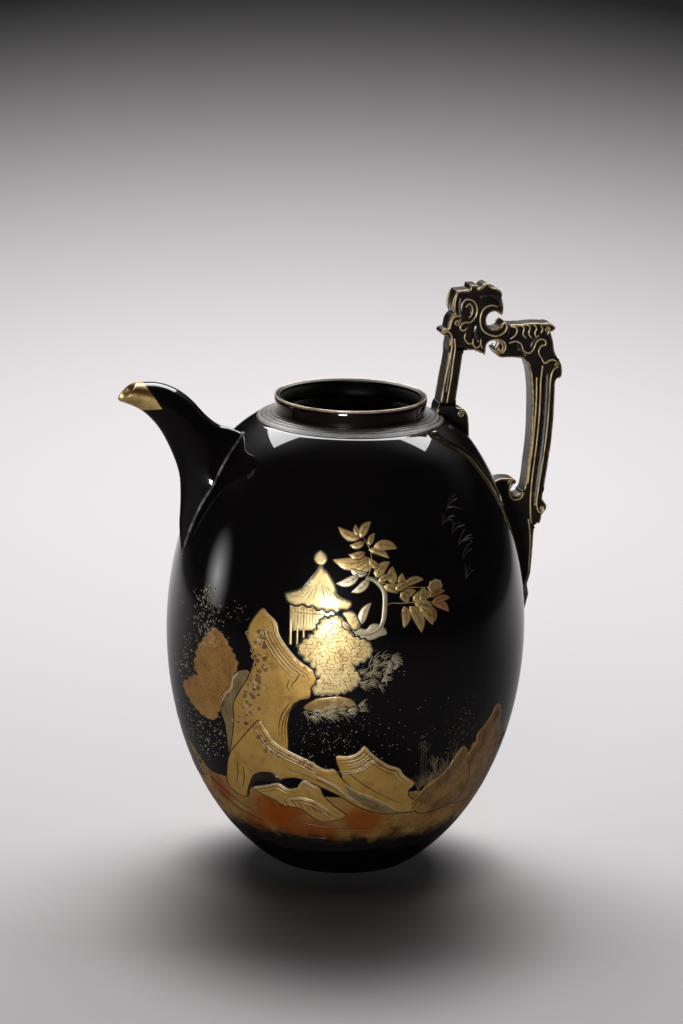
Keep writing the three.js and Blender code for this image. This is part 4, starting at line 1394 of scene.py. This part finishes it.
pale_edges_and_highlights = Relief()
stone_luck = random.Random(3)
LINES_INSIDE = (5, 3, 6, 2, 1, 2, 1, 2, 2, 1)
for line, layers in zip(PALE_EDGES, LINES_INSIDE):
    edge = curve_through(line)
    # The pale gold of these raised lines is partly a painted highlight.
    pale_edges_and_highlights.stroke(edge, 0.8, LINE_LIFT)
    for layer in range(1, layers + 1):
        first = stone_luck.randrange(len(edge) // 3)
        last = len(edge) - stone_luck.randrange(len(edge) // 3)
        inside = beside(edge, -1.5 * layer + stone_luck.uniform(-0.3, 0.3))[first:last]
        dark.stroke(inside, 0.42, 0.22)
        # Painted highlight: a pale stroke along one side of each dark line.
        pale_edges_and_highlights.stroke(beside(inside, 0.42)[::-1], 0.3, 0.22)
pale_edges_and_highlights.piece("rock_edges_and_highlights", "gold_pale")

dark.form(smooth_ring(HOLLOW), 0.21, edge=0.2)
for line in FINE_EDGES:
    dark.stroke(curve_through(line), 0.5, 0.22)
for step in range(9):
    foot = Vector((-29.5 + step * 3.1, 41.8 - abs(step - 3) * 0.9))
    dark.stroke([foot, foot + Vector((-1.6, 2.2)), foot + Vector((-4, 4.4))], 0.45, 0.24)

# %% [markdown]
# Moss on the rock is shown by dots of thick brown lacquer in a loose row down its face,
# each on a slightly larger pale disc that shows as a thin ring, and a few dots of pale
# gold among them. They scatter round a curve with seeded random numbers.

# %% Moss dots
MOSS = [[(-38, 124), (-37, 117), (-37, 107), (-40, 99), (-42.6, 91), (-43, 80)],
        [(-37, 76), (-34, 69.6), (-28, 67.4), (-19, 65.8), (-13, 62.8)]]
moss_luck = random.Random(11)
dark_dots, light_dots = Relief(), Relief()
for line, spread, count, level in ((MOSS[0], 2.2, 84, ROCK_LIFT), (MOSS[1], 1.3, 34, 0.17)):
    path = curve_through(line)
    for number in range(count):
        at = path[moss_luck.randrange(len(path))]
        at = at + Vector((moss_luck.gauss(0, spread), moss_luck.gauss(0, spread * 0.8)))
        size = moss_luck.uniform(0.5, 1.15)
        if number % 4 == 0:
            light_dots.dot(at, size * 0.7, level + 0.07, level - 0.01)
        else:
            light_dots.dot(at, size + 0.22, level + 0.012, level - 0.01, sides=10)
            dark_dots.dot(at, size, level + 0.08, level)
dark_dots.piece("dark_moss_dots", "moss_brown")
light_dots.piece("pale_moss_dots", "gold_pale")

# %% [markdown]
# The pavilion has a bell-shaped roof with a ball on top, a wavy eave and lines of thatch.
# Below it are a wall panel with dark laths, a rail and three posts. In front of it stands
# a clipped shrub on a low mound. Its outline is a chain of scallops and its leaves are
# short curved strokes.

# %% Pavilion and shrub
ROOF = [
    (-12.8, 156.4), (-13, 154.8), (-15.8, 151.3), (-17.6, 149), (-20.4, 146), (-25.4, 144),
    (-27, 143.2), (-26.4, 140.4), (-24.6, 139), (-21.8, 138.5), (-19.4, 139.4), (-16.8, 138.4),
    (-14.6, 139), (-12.6, 137.2), (-10.6, 138), (-8.4, 136.6), (-6.4, 137.6), (-4.2, 136.6),
    (-2, 138), (0.6, 138), (2.2, 139.6), (2, 141.6), (-1.8, 143), (-4, 144.6), (-5.4, 149),
    (-8.4, 153.8), (-10.2, 155.4), (-10.8, 156.4)]
BALL = [(-11.8, 163), (-9.4, 161.4), (-8.8, 159), (-10.6, 157), (-13, 157), (-14.8, 159),
        (-14.2, 161.4)]
SIDE_ROOF = [(-1.6, 136.6), (2, 137.6), (4.6, 136), (6.6, 131), (4.6, 128.8), (1.6, 130.4),
             (0.2, 133.6)]
SHRUB = [
    (-11.6, 131.6), (-10.4, 133.6), (-7.6, 133.8), (-5.6, 135), (-3, 134.8), (-0.8, 133),
    (0.2, 130.6), (2, 128.2), (4, 125.8), (7, 124.8), (9.8, 124), (11.6, 121.6), (11.8, 118.6),
    (9.8, 116), (6.8, 114.4), (4, 113), (4.4, 110.4), (6.8, 108.4), (6.4, 105.4), (4.4, 102.8),
    (1.6, 101), (-1.4, 100), (-4.6, 99.4), (-7.8, 99.2), (-11, 98.8), (-14, 99.8),
    (-12.6, 103.4), (-10.8, 106.4), (-12.8, 110.8), (-15.6, 113.4), (-18.6, 116),
    (-20.8, 119.2), (-19.4, 122.2), (-16.6, 124.2), (-14.4, 126.6), (-12.6, 129)]
WALL_PANEL = [(-23.8, 139), (-23.8, 128), (-22, 127.4), (-17, 127.8), (-12.4, 128.6), (-10, 132),
              (-10, 139)]
RAIL_HEIGHT = 135.4
THATCH_FEET = (-26, -23.4, -20.6, -17.8, -15, -9, -6, -3.4, -1)
ROOF_MIDDLE = -12

pavilion = Relief()
pavilion.form(smooth_ring(WALL_PANEL), FAR_LIFT, pitch=1.8)
for across in between(-22.6, -12, 8):
    dark.stroke([(across, z) for z in between(138, 128.6, 5)], 0.32, 0.12)
pavilion.stroke([(x, RAIL_HEIGHT) for x in between(-25, -9, 8)], 0.7, 0.13, taper=False)
for across in THATCH_FEET:
    out = across - ROOF_MIDDLE
    top, foot = Vector((ROOF_MIDDLE + out * 0.25, 151 - abs(out) * 0.15)), Vector((across, 141.6))
    dark.stroke([top.lerp(foot, share) + Vector((0, -1.2 * math.sin(math.pi * share)))
                 for share in between(0.15, 1, 7)], 0.3, 0.215)
for knots, grown in ((ROOF, 0.7), (BALL, 0.3), (SIDE_ROOF, 0.5)):
    ring = smooth_ring(knots)
    pavilion.form(ring, NEAR_LIFT, pitch=1.8)
    dark.outline(ring, grown, NEAR_LIFT - 0.03)
for post, foot, width in ((-24.4, 121, 1.3), (-21.4, 120, 1.1), (-18.6, 120.6, 1.1)):
    pavilion.stroke([(post, z) for z in between(138.6, foot, 8)], width, FAR_LIFT, taper=False)
pavilion.piece("pavilion", "gold_bright")

MOUND = [(-18, 92), (-13, 96.4), (-8, 97.6), (-2, 98.4), (3.4, 97), (5, 94.6), (-1, 92.6),
         (-7, 91.4), (-13, 90.4)]
mound = Relief()
mound.form(smooth_ring(MOUND), 0.1)
mound.piece("shrub_mound", "gold_of_foliage")

shrub_ring = scalloped(SHRUB)
shrub = Relief()
shrub.form(shrub_ring, 0.2, pitch=1.8)
dark.outline(shrub_ring, 0.55, 0.17)
leaf_luck = random.Random(5)
foliage = Relief()
for at in places_inside(SHRUB, 1.9, 1.0):
    at = at + Vector((leaf_luck.uniform(-0.5, 0.5), leaf_luck.uniform(-0.5, 0.5)))
    lean, size = leaf_luck.uniform(-1.5, 1.5), leaf_luck.uniform(0.6, 1.1)
    arc = [at + heading(turn) * size for turn in between(0.1 + lean, 3.2 + lean, 6)]
    foliage.stroke(arc, 0.34, 0.25)
foliage.piece("shrub_leaf_lines", "gold_of_foliage")
shrub.piece("clipped_shrub", "gold_bright")

# %% [markdown]
# A branch hangs in from the right over the pavilion, with a trunk that curls back on
# itself. Each leaf is laid by its base, its tip and its width. It lies on a dark edge, a
# little above the leaf before it, and has dark veins. One round blossom sits near the end.

# %% Branch
LEAVES = [
    ((5.8, 169), (-4.3, 173.2), 3.8), ((6, 168.8), (10.2, 175.6), 3.8),
    ((5, 170), (3.4, 174.4), 2.4), ((7.5, 167.3), (0.9, 165.7), 2.8),
    ((10, 165.6), (12, 170.8), 2.6), ((11.7, 165), (22.2, 164), 4.4),
    ((9.4, 163.8), (18.7, 160), 3.0), ((10.2, 160.4), (-6.4, 159.4), 5.6),
    ((11.4, 158.6), (3.7, 155.6), 4.0), ((13.2, 151.8), (19, 158.6), 4.6),
    ((21.6, 149), (20.3, 156.6), 4.4), ((26, 147), (24.6, 153.5), 3.8),
    ((26, 148.2), (34.2, 150), 3.4), ((14.2, 149.8), (20.4, 152.4), 3.0),
    ((16.6, 148), (22.9, 144.8), 3.6), ((24.4, 142), (31, 145.4), 4.4),
    ((29.6, 141), (39, 143), 5.0), ((30.4, 139.6), (38.9, 136.5), 4.4),
    ((25.7, 139), (26, 129.4), 4.0), ((28.2, 138.8), (34, 126.6), 5.0),
    ((32.8, 138.3), (38.9, 129.6), 4.4), ((22, 146), (28, 148.4), 3.6),
    ((24, 145), (27.4, 140), 3.6), ((34, 146.6), (33, 141), 3.4),
    ((8, 162.8), (0.6, 161.8), 3.2), ((14.6, 156.4), (9.6, 160.6), 3.0)]
PALE_LEAVES = [
    ((9, 153.7), (1.1, 156), 2.8), ((5.4, 153.4), (-4.8, 149.2), 3.8),
    ((9.8, 151.6), (2.2, 145.6), 3.6), ((7.3, 131.6), (11.2, 141.2), 3.6),
    ((2.6, 129.6), (-1.6, 133.6), 2.6)]
RED_LEAVES = [
    ((38, 139.9), (46, 134.6), 3.6), ((38.6, 139.4), (46.4, 140.6), 3.2),
    ((36, 138), (40, 131), 3.2), ((37, 142), (44, 144), 2.8)]
TRUNK = [(8.5, 151.8), (12, 151), (15.2, 148.3), (16.8, 145.8), (17.3, 142.3), (17.1, 136.2),
         (16.7, 133.3), (15.6, 130.3), (13.4, 128.4), (11, 127.2), (8, 126.8), (5, 127.4),
         (2.8, 129.3)]
TRUNK_FOOT = [(3.6, 127.6), (6.4, 130), (9, 129.4), (11.4, 131.6), (14.6, 131.6), (17.6, 129.6),
              (18.4, 127), (15.4, 126), (12.4, 124.6), (8.4, 124.4), (5, 125.4)]
TWIGS = [
    [(9, 151.8), (10.6, 156), (10.8, 161), (9.4, 165.4), (6.4, 169.6)],
    [(12, 151), (16, 149.4), (22, 148.6), (28, 147.2), (37, 146.4)],
    [(17.3, 139), (20, 140.6), (24, 140.4), (30, 140.4), (39.6, 139.8)]]
BLOSSOM = Vector((39.6, 146.4))


def veins(base, tip, width, lift):
    """Dark lines on a leaf: its middle and a few pairs that slant from it."""
    base, along = Vector(base), Vector(tip) - Vector(base)
    across = leftward(along)
    middle = [base + along * share + across * LEAF_BEND * along.length * math.sin(math.pi * share)
              for share in between(0.04, 0.9, 8)]
    dark.stroke(middle, 0.3, lift)
    for share in (2, 4, 5):
        for way in (-1, 1):
            start = middle[share]
            end = start + along * 0.13 + across * way * width * 0.3
            dark.stroke([start, start.lerp(end, 0.5), end], 0.22, lift)


def edged_leaves(relief, leaves, lowest):
    """Leaves, each on its dark edge, so that each is parted from those behind it."""
    for number, (base, tip, width) in enumerate(leaves):
        lift = lowest + 0.06 * number / len(leaves)
        dark.leaf(base, tip, width + 0.8, lift=lift - 0.012)
        relief.leaf(base, tip, width, lift=lift)
        veins(base, tip, width, lift + 0.006)


branch = Relief()
edged_leaves(branch, LEAVES, 0.15)
for line in TWIGS:
    branch.stroke(curve_through(line), 0.5, 0.22)
petals = [BLOSSOM + heading(turn) * (3.2 + 0.2 * math.cos(8 * turn))
          for turn in between(0, 2 * math.pi, 64)[:-1]]
branch.form(petals, NEAR_LIFT, pitch=1.5)
branch.piece("leafy_branch", "gold_of_leaves")
for radius in (1.9, 0.8):
    heart = [BLOSSOM + heading(turn) * radius for turn in between(0, 2 * math.pi, 20)]
    dark.stroke(heart, 0.3, 0.23, taper=False)
for turn in between(0, 2 * math.pi, 10)[:-1]:
    dark.stroke([BLOSSOM + heading(turn) * out for out in (1.1, 2, 2.9)], 0.24, 0.23)

# The leaves nearest the bright middle get a paler gold, which is partly a painted highlight.
pale_leaves_in_highlight = Relief()
edged_leaves(pale_leaves_in_highlight, PALE_LEAVES, 0.19)
red_leaves = Relief()
edged_leaves(red_leaves, RED_LEAVES, 0.15)
red_leaves.piece("red_leaves", "gold_of_red_leaves")
pale_leaves_in_highlight.piece("pale_leaves_in_highlight", "gold_pale")

trunk = Relief()
trunk.stroke(curve_through(TRUNK), 2.3, 0.17)
trunk.form(smooth_ring(TRUNK_FOOT), 0.16, pitch=1.8)
trunk.piece("branch_trunk", "gold_dust")
for shift in (-0.45, 0.4):
    dark.stroke([p + Vector((shift, shift * 0.7)) for p in curve_through(TRUNK)], 0.25, 0.2)

# %% [markdown]
# Between these forms the painter filled in with a fine brush: tufts of pine needles,
# grasses, and grains of gold sprinkled one by one. They are drawn by rule, again with
# seeded random numbers, so that every run gives the same.

# %% Needles, grasses and sprinkled grains
brush = random.Random(23)


def tuft(relief, root, way, spread, length, count, droop=0.25):
    """Fine curved strokes that fan out from a root; the angles are in degrees."""
    for _ in range(count):
        turn = math.radians(way + brush.uniform(-spread, spread))
        reach = length * brush.uniform(0.55, 1.0)
        start = Vector(root) + Vector((brush.uniform(-0.7, 0.7), brush.uniform(-0.7, 0.7)))
        end = start + heading(turn) * reach
        middle = (start + end) / 2 + Vector((0, reach * droop))
        path = [bent(start, middle, end, share) for share in between(0, 1, 6)]
        relief.stroke(path, brush.uniform(0.17, 0.28), 0.18)


def sprinkle(relief, middle, spread, count, largest=0.28):
    for _ in range(count):
        at = (brush.gauss(middle[0], spread[0]), brush.gauss(middle[1], spread[1]))
        relief.dot(at, brush.uniform(0.09, largest), 0.16)


needles = Relief()
for low, high, count, way in (((6, 103), (18, 111), 15, -10), ((10, 108), (25, 117), 13, 30),
                              ((-20, 88), (-4, 94), 13, -30), ((-8, 89), (8, 96), 12, 0)):
    for _ in range(count):
        root = (brush.uniform(low[0], high[0]), brush.uniform(low[1], high[1]))
        lean = way + brush.uniform(-40, 40)
        tuft(needles, root, lean, 34, 5.2, 6, droop=0.18)
        sprinkle(needles, root, (2.4, 1.6), 4, 0.24)
sprinkle(needles, (-6, 78), (11, 7), 190, 0.24)
sprinkle(needles, (22, 78), (11, 14), 60, 0.22)
sprinkle(needles, (-47, 133), (2.6, 4), 22, 0.22)
needles.piece("needles_and_grains", "gold_dust")
reeds = Relief()
for root in ((34.6, 50), (36, 52), (38, 51), (40, 53), (44, 55), (48, 56), (51, 62)):
    tuft(reeds, root, 86, 34, 9, 12, droop=0.05)
for across in (35.4, 36.4, 37.6):
    reeds.stroke([(across, z) for z in between(52, 73, 8)], 0.26, 0.18)
    sprinkle(reeds, (across, 73), (0.8, 2.4), 22, 0.34)
for middle in ((45, 60), (41, 55), (50, 68), (53, 76), (56, 84)):
    sprinkle(reeds, middle, (2.6, 3.2), 46, 0.32)
reeds.piece("reeds", "worn_dust")

spray = Relief()
for _ in range(260):
    height = brush.uniform(112, 140)
    lean = brush.gauss(0, 1) * (4.2 - abs(height - 126) * 0.2)
    root = Vector((-61.5 + lean, height))
    way = Vector((lean * 0.1 + brush.uniform(-0.6, 0.6), brush.uniform(0.2, 1.4)))
    spray.stroke([root, root + way * 0.5, root + way], 0.24, 0.17)
for middle, count in (((-72, 100), 60), ((-70, 108), 40), ((-66, 72), 60), ((-60, 64), 60),
                      ((-56, 74), 40)):
    sprinkle(spray, middle, (2.4, 5), count, 0.34)
spray.piece("left_spray", "gold_dust")

# %% [markdown]
# At the left stand two low shrubs with small buds on them. The ground below everything is
# one long band, gold with red lacquer showing through in blots.

# %% Ground and left shrubs
UPPER_SHRUB = [
    (-59, 122.3), (-56.4, 121), (-54.2, 119), (-52.4, 116), (-50.6, 113.4), (-49, 110.6),
    (-48.2, 106.6), (-49.6, 103.4), (-50.8, 100), (-51.6, 95), (-54, 91.6), (-57, 93.6),
    (-61.4, 97.6), (-64.6, 97.4), (-67, 98.6), (-67.8, 102), (-67, 106), (-66.4, 110.2),
    (-64.4, 114), (-62, 117), (-60.8, 120.2)]
LOWER_SHRUB = [
    (-66.8, 97.4), (-61.4, 97.6), (-57, 93.4), (-54.8, 89.2), (-55.4, 85.6), (-56.6, 82.4),
    (-57.6, 79), (-60, 77.8), (-62.6, 78.4), (-65.6, 79.8), (-68, 81.4), (-70, 84), (-72.4, 87),
    (-73, 90.4), (-71, 93), (-69, 95.6)]
FRONT_GROUND = [
    (-71, 62), (-66, 56), (-60, 50), (-52, 50), (-40, 48), (-20, 48), (0, 48), (20, 46),
    (34, 46), (43, 44), (49, 49), (54, 52), (57, 61), (58.6, 69), (62, 67), (60, 54), (55, 42),
    (49, 31), (44, 30), (40, 34), (31, 33), (24, 27), (20, 20), (9, 17), (-9, 16),
    (-24, 15.6), (-34, 17), (-44, 22), (-52, 30), (-59, 39), (-66, 50)]
EARTH_LINES = [
    [(-60, 46), (-52, 41), (-44, 36.6), (-34, 33)], [(-56, 40), (-46, 33.6), (-34, 29.6)],
    [(-24, 33), (-10, 31.4), (4, 30.8), (16, 31)], [(-40, 27), (-24, 24.6), (-6, 24.4)],
    [(42, 41), (48, 45), (53, 49)], [(46, 36), (51, 42), (55, 47)], [(-46, 45), (-38, 40)]]

left_shrubs = Relief()
for knots in (UPPER_SHRUB, LOWER_SHRUB):
    ring = scalloped(knots, 0.22)
    left_shrubs.form(ring, 0.12)
    dark.outline(ring, 0.3, 0.09)
left_shrubs.piece("left_shrubs", "gold_of_shrub")
buds = Relief()
for knots in (UPPER_SHRUB, LOWER_SHRUB):
    for at in places_inside(knots, 1.9, 0.7):
        at = at + Vector((leaf_luck.uniform(-0.5, 0.5), leaf_luck.uniform(-0.5, 0.5)))
        buds.dot(at, leaf_luck.uniform(0.3, 0.6), 0.18, 0.11)
buds.piece("shrub_buds", "gold_of_foliage")

ground = Relief()
ground.form(smooth_ring(FRONT_GROUND, 1.0), GROUND_LIFT, pitch=3.0)
ground.piece("ground", "gold_of_ground")
for line in EARTH_LINES:
    dark.stroke(curve_through(line), 0.5, 0.13)

# %% [markdown]
# At the right stands a rock of two lobes. The photograph doesn't show the back, so what
# goes on there is a guess from the kind of ewer: the same ground in short overlapping
# patches, and the same rock four times more, in other sizes and golds.

# %% Rocks to the right and round the back
ROCK_FOOT = 36
LOW_LOBE = [(-34, 44), (-31, 51), (-27, 54.6), (-23, 58.4), (-20.6, 64), (-17.6, 68.6),
            (-14, 66.4), (-11.6, 61.4), (-8, 57), (-5, 50), (-6, 41), (-16, 37), (-28, 37)]
HIGH_LOBE = [(-17, 46.3), (-15, 53), (-12.4, 58.8), (-11.6, 64.6), (-8.4, 67.9), (-8.8, 72.9),
             (-4.4, 77), (-0.6, 80.3), (3, 84.8), (7, 82.8), (10, 77), (14, 69.5), (18, 59.6),
             (17, 46.3), (6, 38), (-8, 38)]
ROCK_EDGES = [LOW_LOBE[:8], HIGH_LOBE[2:11]]
PATCH_STEP = 8
PATCH_HALF = 5.8
FAR_ROCKS = [(58, 1.0, "gold_of_far_rock"), (118, 0.75, "gold_of_ground"),
             (172, 1.05, "gold_of_rock"), (222, 0.8, "gold_of_shrub"),
             (268, 0.7, "gold_of_ground")]


def resized(knots, size):
    return [(x * size, ROCK_FOOT + (z - ROCK_FOOT) * size) for x, z in knots]


for number, (bearing, size, gold) in enumerate(FAR_ROCKS, 1):
    rock, lines, plants, edges = (Relief(bearing) for _ in range(4))
    for knots, lift in ((HIGH_LOBE, 0.1), (LOW_LOBE, 0.15)):
        ring = smooth_ring(resized(knots, size), 0.9)
        rock.form(ring, lift)
        lines.outline(ring, 0.25, lift - 0.02)
    rock.piece(f"far_rock_{number}", gold)
    for knots in ROCK_EDGES:
        edge = curve_through(resized(knots, size))
        edges.stroke(edge, 0.7, 0.2)
        for step in (1, 2, 3):
            start = brush.randrange(4)
            lines.stroke(beside(edge, -1.8 * step)[start:-1 - start], 0.42, 0.19)
    lines.piece(f"far_lines_{number}", "dark_edge")
    edges.piece(f"far_edges_{number}", "gold_of_shrub")
    for root in (-30, -24, -16, -8, 12, 20):
        tuft(plants, (root * size, 60 * size), 90 - root, 30, 9 * size, 9, droop=0.05)
    sprinkle(plants, (0, 76), (16, 12), 70)
    plants.piece(f"far_plants_{number}", "worn_dust")

back_ground = Relief()
for bearing in range(28, 304, PATCH_STEP):
    low, high = (46 + 3.5 * math.sin(math.radians(turn * 3.4))
                 for turn in (bearing, bearing + PATCH_STEP))
    patch = Relief(bearing)
    steps = [(-PATCH_HALF, 17), (-PATCH_HALF, low), (0, (low + high) / 2 + 0.6),
             (PATCH_HALF, high), (5.4, 17)]
    patch.form(drawn(steps, 1.5), GROUND_LIFT, pitch=3.2)
    back_ground.add(patch.points, patch.faces)
back_ground.piece("back_ground", "gold_of_ground")

# %% [markdown]
# The dark edges and strokes of all forms are laid as one piece. High on the right side are
# a few sprigs whose gold has worn off, so that only a dull trace is left.

# %% Dark edges and worn sprigs
dark.piece("dark_edges", "dark_edge", "black_lacquer")

sprigs = Relief()
for root in ((42, 172), (47, 168), (50, 163), (44, 178), (52, 157), (54, 148)):
    tuft(sprigs, root, brush.choice((30, 60, 120)), 50, 7, 5)
sprigs.piece("worn_sprigs", "worn_gold")

# %% [markdown]
# The hidden dowels stay as the frame has them, and only get the finish of bare wood.

# %% Bare wood


def bare_wood():
    recipe = Recipe("bare_wood")
    rings = recipe.noise(1.2, detail=4, stretch=(1, 1, 0.1))
    colour = recipe.mixed(rings, (0.30, 0.19, 0.10), (0.50, 0.34, 0.20))
    return recipe.finish(base_color=colour, roughness=0.6 + rings * 0.15,
                         normal=recipe.relief(rings, 0.04))


wood = bare_wood()
for part in frame["record"]["subparts"]:
    if part["material_slot"] == "bare_wood":
        dowel = frame["nodes"][part["node"]]
        dowel.data.materials.clear()
        dowel.data.materials.append(wood)
        print("wood on", part["node"])

# %% [markdown]
# The photograph has a plain pale sheet below and behind the ewer, almost white near it and
# dark grey in the far distance. A wide floor is enough for that, because the camera looks
# down and never sees its end. The falloff of the light is painted into its colour, which
# darkens evenly with the distance behind the ewer, to both sides and to the front. A soft
# oval painted shadow lies round and in front of the foot, and a smaller, darker one right
# under it. The room in front of the ewer was dark, so the floor there is painted darker in
# what the black body mirrors. Distances are in metres, as the floor is.

# %% Floor
FLOOR_REACH = 14.0
FLOOR_PALE = 0.702
FLOOR_DARKEST = 0.03
FADE_BEHIND = 0.242
FADE_ASIDE = 0.5
FADE_IN_FRONT = 0.17
SHADOW_FORWARD = 0.105
SHADOW_HALF_SIZES = (0.105, 0.15)
CONTACT_FORWARD = 0.01
CONTACT_HALF_SIZES = (0.066, 0.06)
MIRRORED_FLOOR = 0.08


def oval(aside, away, forward, half_sizes):
    """1 on the edge of an oval on the floor, less inside it and more outside."""
    return ((aside / half_sizes[0]) ** 2 + ((away + forward) / half_sizes[1]) ** 2) ** 0.5


def pale_sheet():
    recipe = Recipe("pale_sheet")
    away = recipe.along(-toward)
    aside = recipe.along(rightward)
    # Painted falloff of the light: the colour darkens behind, to the sides and in front.
    pale = (FLOOR_PALE - FADE_BEHIND * away.largest(0.0) - FADE_ASIDE * aside * aside
            - FADE_IN_FRONT * (-away).largest(0.0)).largest(FLOOR_DARKEST)
    # Painted shadows: two ovals round the foot darken the colour.
    shadow = oval(aside, away, SHADOW_FORWARD, SHADOW_HALF_SIZES)
    contact_shadow = oval(aside, away, CONTACT_FORWARD, CONTACT_HALF_SIZES)
    pale = pale * (0.2 + 0.8 * shadow.above(0.7, 0.42)) * (0.5 + 0.5 * contact_shadow.above(1.0, 0.3))
    # Painted shade in reflections: what the body mirrors of the floor in front is darker.
    mirrored = recipe.node("LightPath", output="Is Glossy Ray")
    mirrored_shade = MIRRORED_FLOOR + (1 - MIRRORED_FLOOR) * away.above(0.4, 0.45)
    pale = pale * (1 - mirrored * (1 - mirrored_shade))
    colour = recipe.mixed(pale, (0.0, 0.0, 0.0), (1.0, 0.955, 0.97))
    return recipe.finish(base_color=colour, roughness=0.8, specular_ior_level=0.1)


floor_mesh = bpy.data.meshes.new("studio_floor")
ring = [(*heading(turn) * FLOOR_REACH, 0) for turn in turns_around(64)]
floor_mesh.from_pydata(ring, [], [tuple(range(64))])
floor = bpy.data.objects.new("studio_floor", floor_mesh)
bpy.context.scene.collection.objects.link(floor)
floor.data.materials.append(pale_sheet())

# %% [markdown]
# Three soft lights make the reflections of the photograph. A wide box hangs above and
# behind the ewer and draws the bright band on the shoulder. A square one stands at the
# left, bright in its middle and fading to its edges, and draws the soft streak down the
# body. A small one beside the camera gives the gold its warm middle.

# %% Lights
TABLE_AIM = Vector((0, 0, 0.12))


def soft_box(name, place, aim, width, height, radiance):
    data = bpy.data.lights.new(name, "AREA")
    data.shape = "RECTANGLE"
    data.size = width
    data.size_y = height
    data.energy = radiance * math.pi * width * height
    lamp = bpy.data.objects.new(name, data)
    bpy.context.scene.collection.objects.link(lamp)
    lamp.location = place
    lamp.rotation_euler = (Vector(aim) - Vector(place)).to_track_quat("-Z", "Y").to_euler()
    return lamp


def fade_to_edges(lamp):
    """Lets a lamp be bright in its middle and dark at its edges, like light on a curtain."""
    recipe = Recipe.for_owner(lamp.data)
    across = recipe.node("NewGeometry", output="Parametric")
    middle = (0.5, 0.5, 0)
    shift = recipe.node("VectorMath", {"operation": "SUBTRACT"}, {0: across, 1: middle})
    far = recipe.node("VectorMath", {"operation": "LENGTH"}, {0: shift}, output="Value")
    glow = recipe.node("Emission", None, {"Strength": (1 - far * 2).largest(0.0) ** 1.8})
    recipe.node("OutputLight", None, {"Surface": glow})


def from_ewer(azimuth, rise, distance):
    """A place seen from the ewer: azimuth 0 is in front, and it grows to the right."""
    turn, lift = math.radians(azimuth), math.radians(rise)
    return TABLE_AIM + Vector((math.sin(turn) * math.cos(lift), -math.cos(turn) * math.cos(lift),
                               math.sin(lift))) * distance


BOX_HEIGHT = 1.3
overhead_place = upright * BOX_HEIGHT - toward * BOX_HEIGHT * 0.85
overhead = soft_box("overhead_box", overhead_place, overhead_place - upright, 1.75, 1.3, 6.0)
overhead.rotation_euler = (0, 0, CAMERA_AZIMUTH)
left = soft_box("left_box", from_ewer(-109, 3, 1.6), TABLE_AIM, 0.75, 0.75, 3.2)
fade_to_edges(left)
soft_box("front_box", from_ewer(-27, 3, 2.2), TABLE_AIM, 0.46, 0.46, 36)

# %% [markdown]
# The room is almost dark, and a little lighter behind and above the ewer, so that the
# lacquer mirrors only the lights. Past the end of the floor the camera would see it as a
# plain pale wall.

# %% The room
ROOM_DARK = 0.006
ROOM_LIT = 0.24
WALL_SEEN = 0.8


def room():
    world = bpy.data.worlds.new("studio")
    bpy.context.scene.world = world
    recipe = Recipe.for_owner(world)
    direction = recipe.node("TexCoord", output="Generated")
    facing = recipe.along(-toward, direction)
    height = recipe.along(upright, direction)
    lit = ROOM_DARK + ROOM_LIT * facing.above(0.35, 0.3) * height.above(0.5, 0.3)
    ray = recipe.node("LightPath", output="Is Camera Ray")
    strength = lit * (1 - ray) + ray * WALL_SEEN
    background = recipe.node("Background", None, {"Color": (1, 1, 1, 1), "Strength": strength})
    recipe.node("OutputWorld", None, {"Surface": background})


room()
bpy.context.scene.view_settings.view_transform = "Standard"
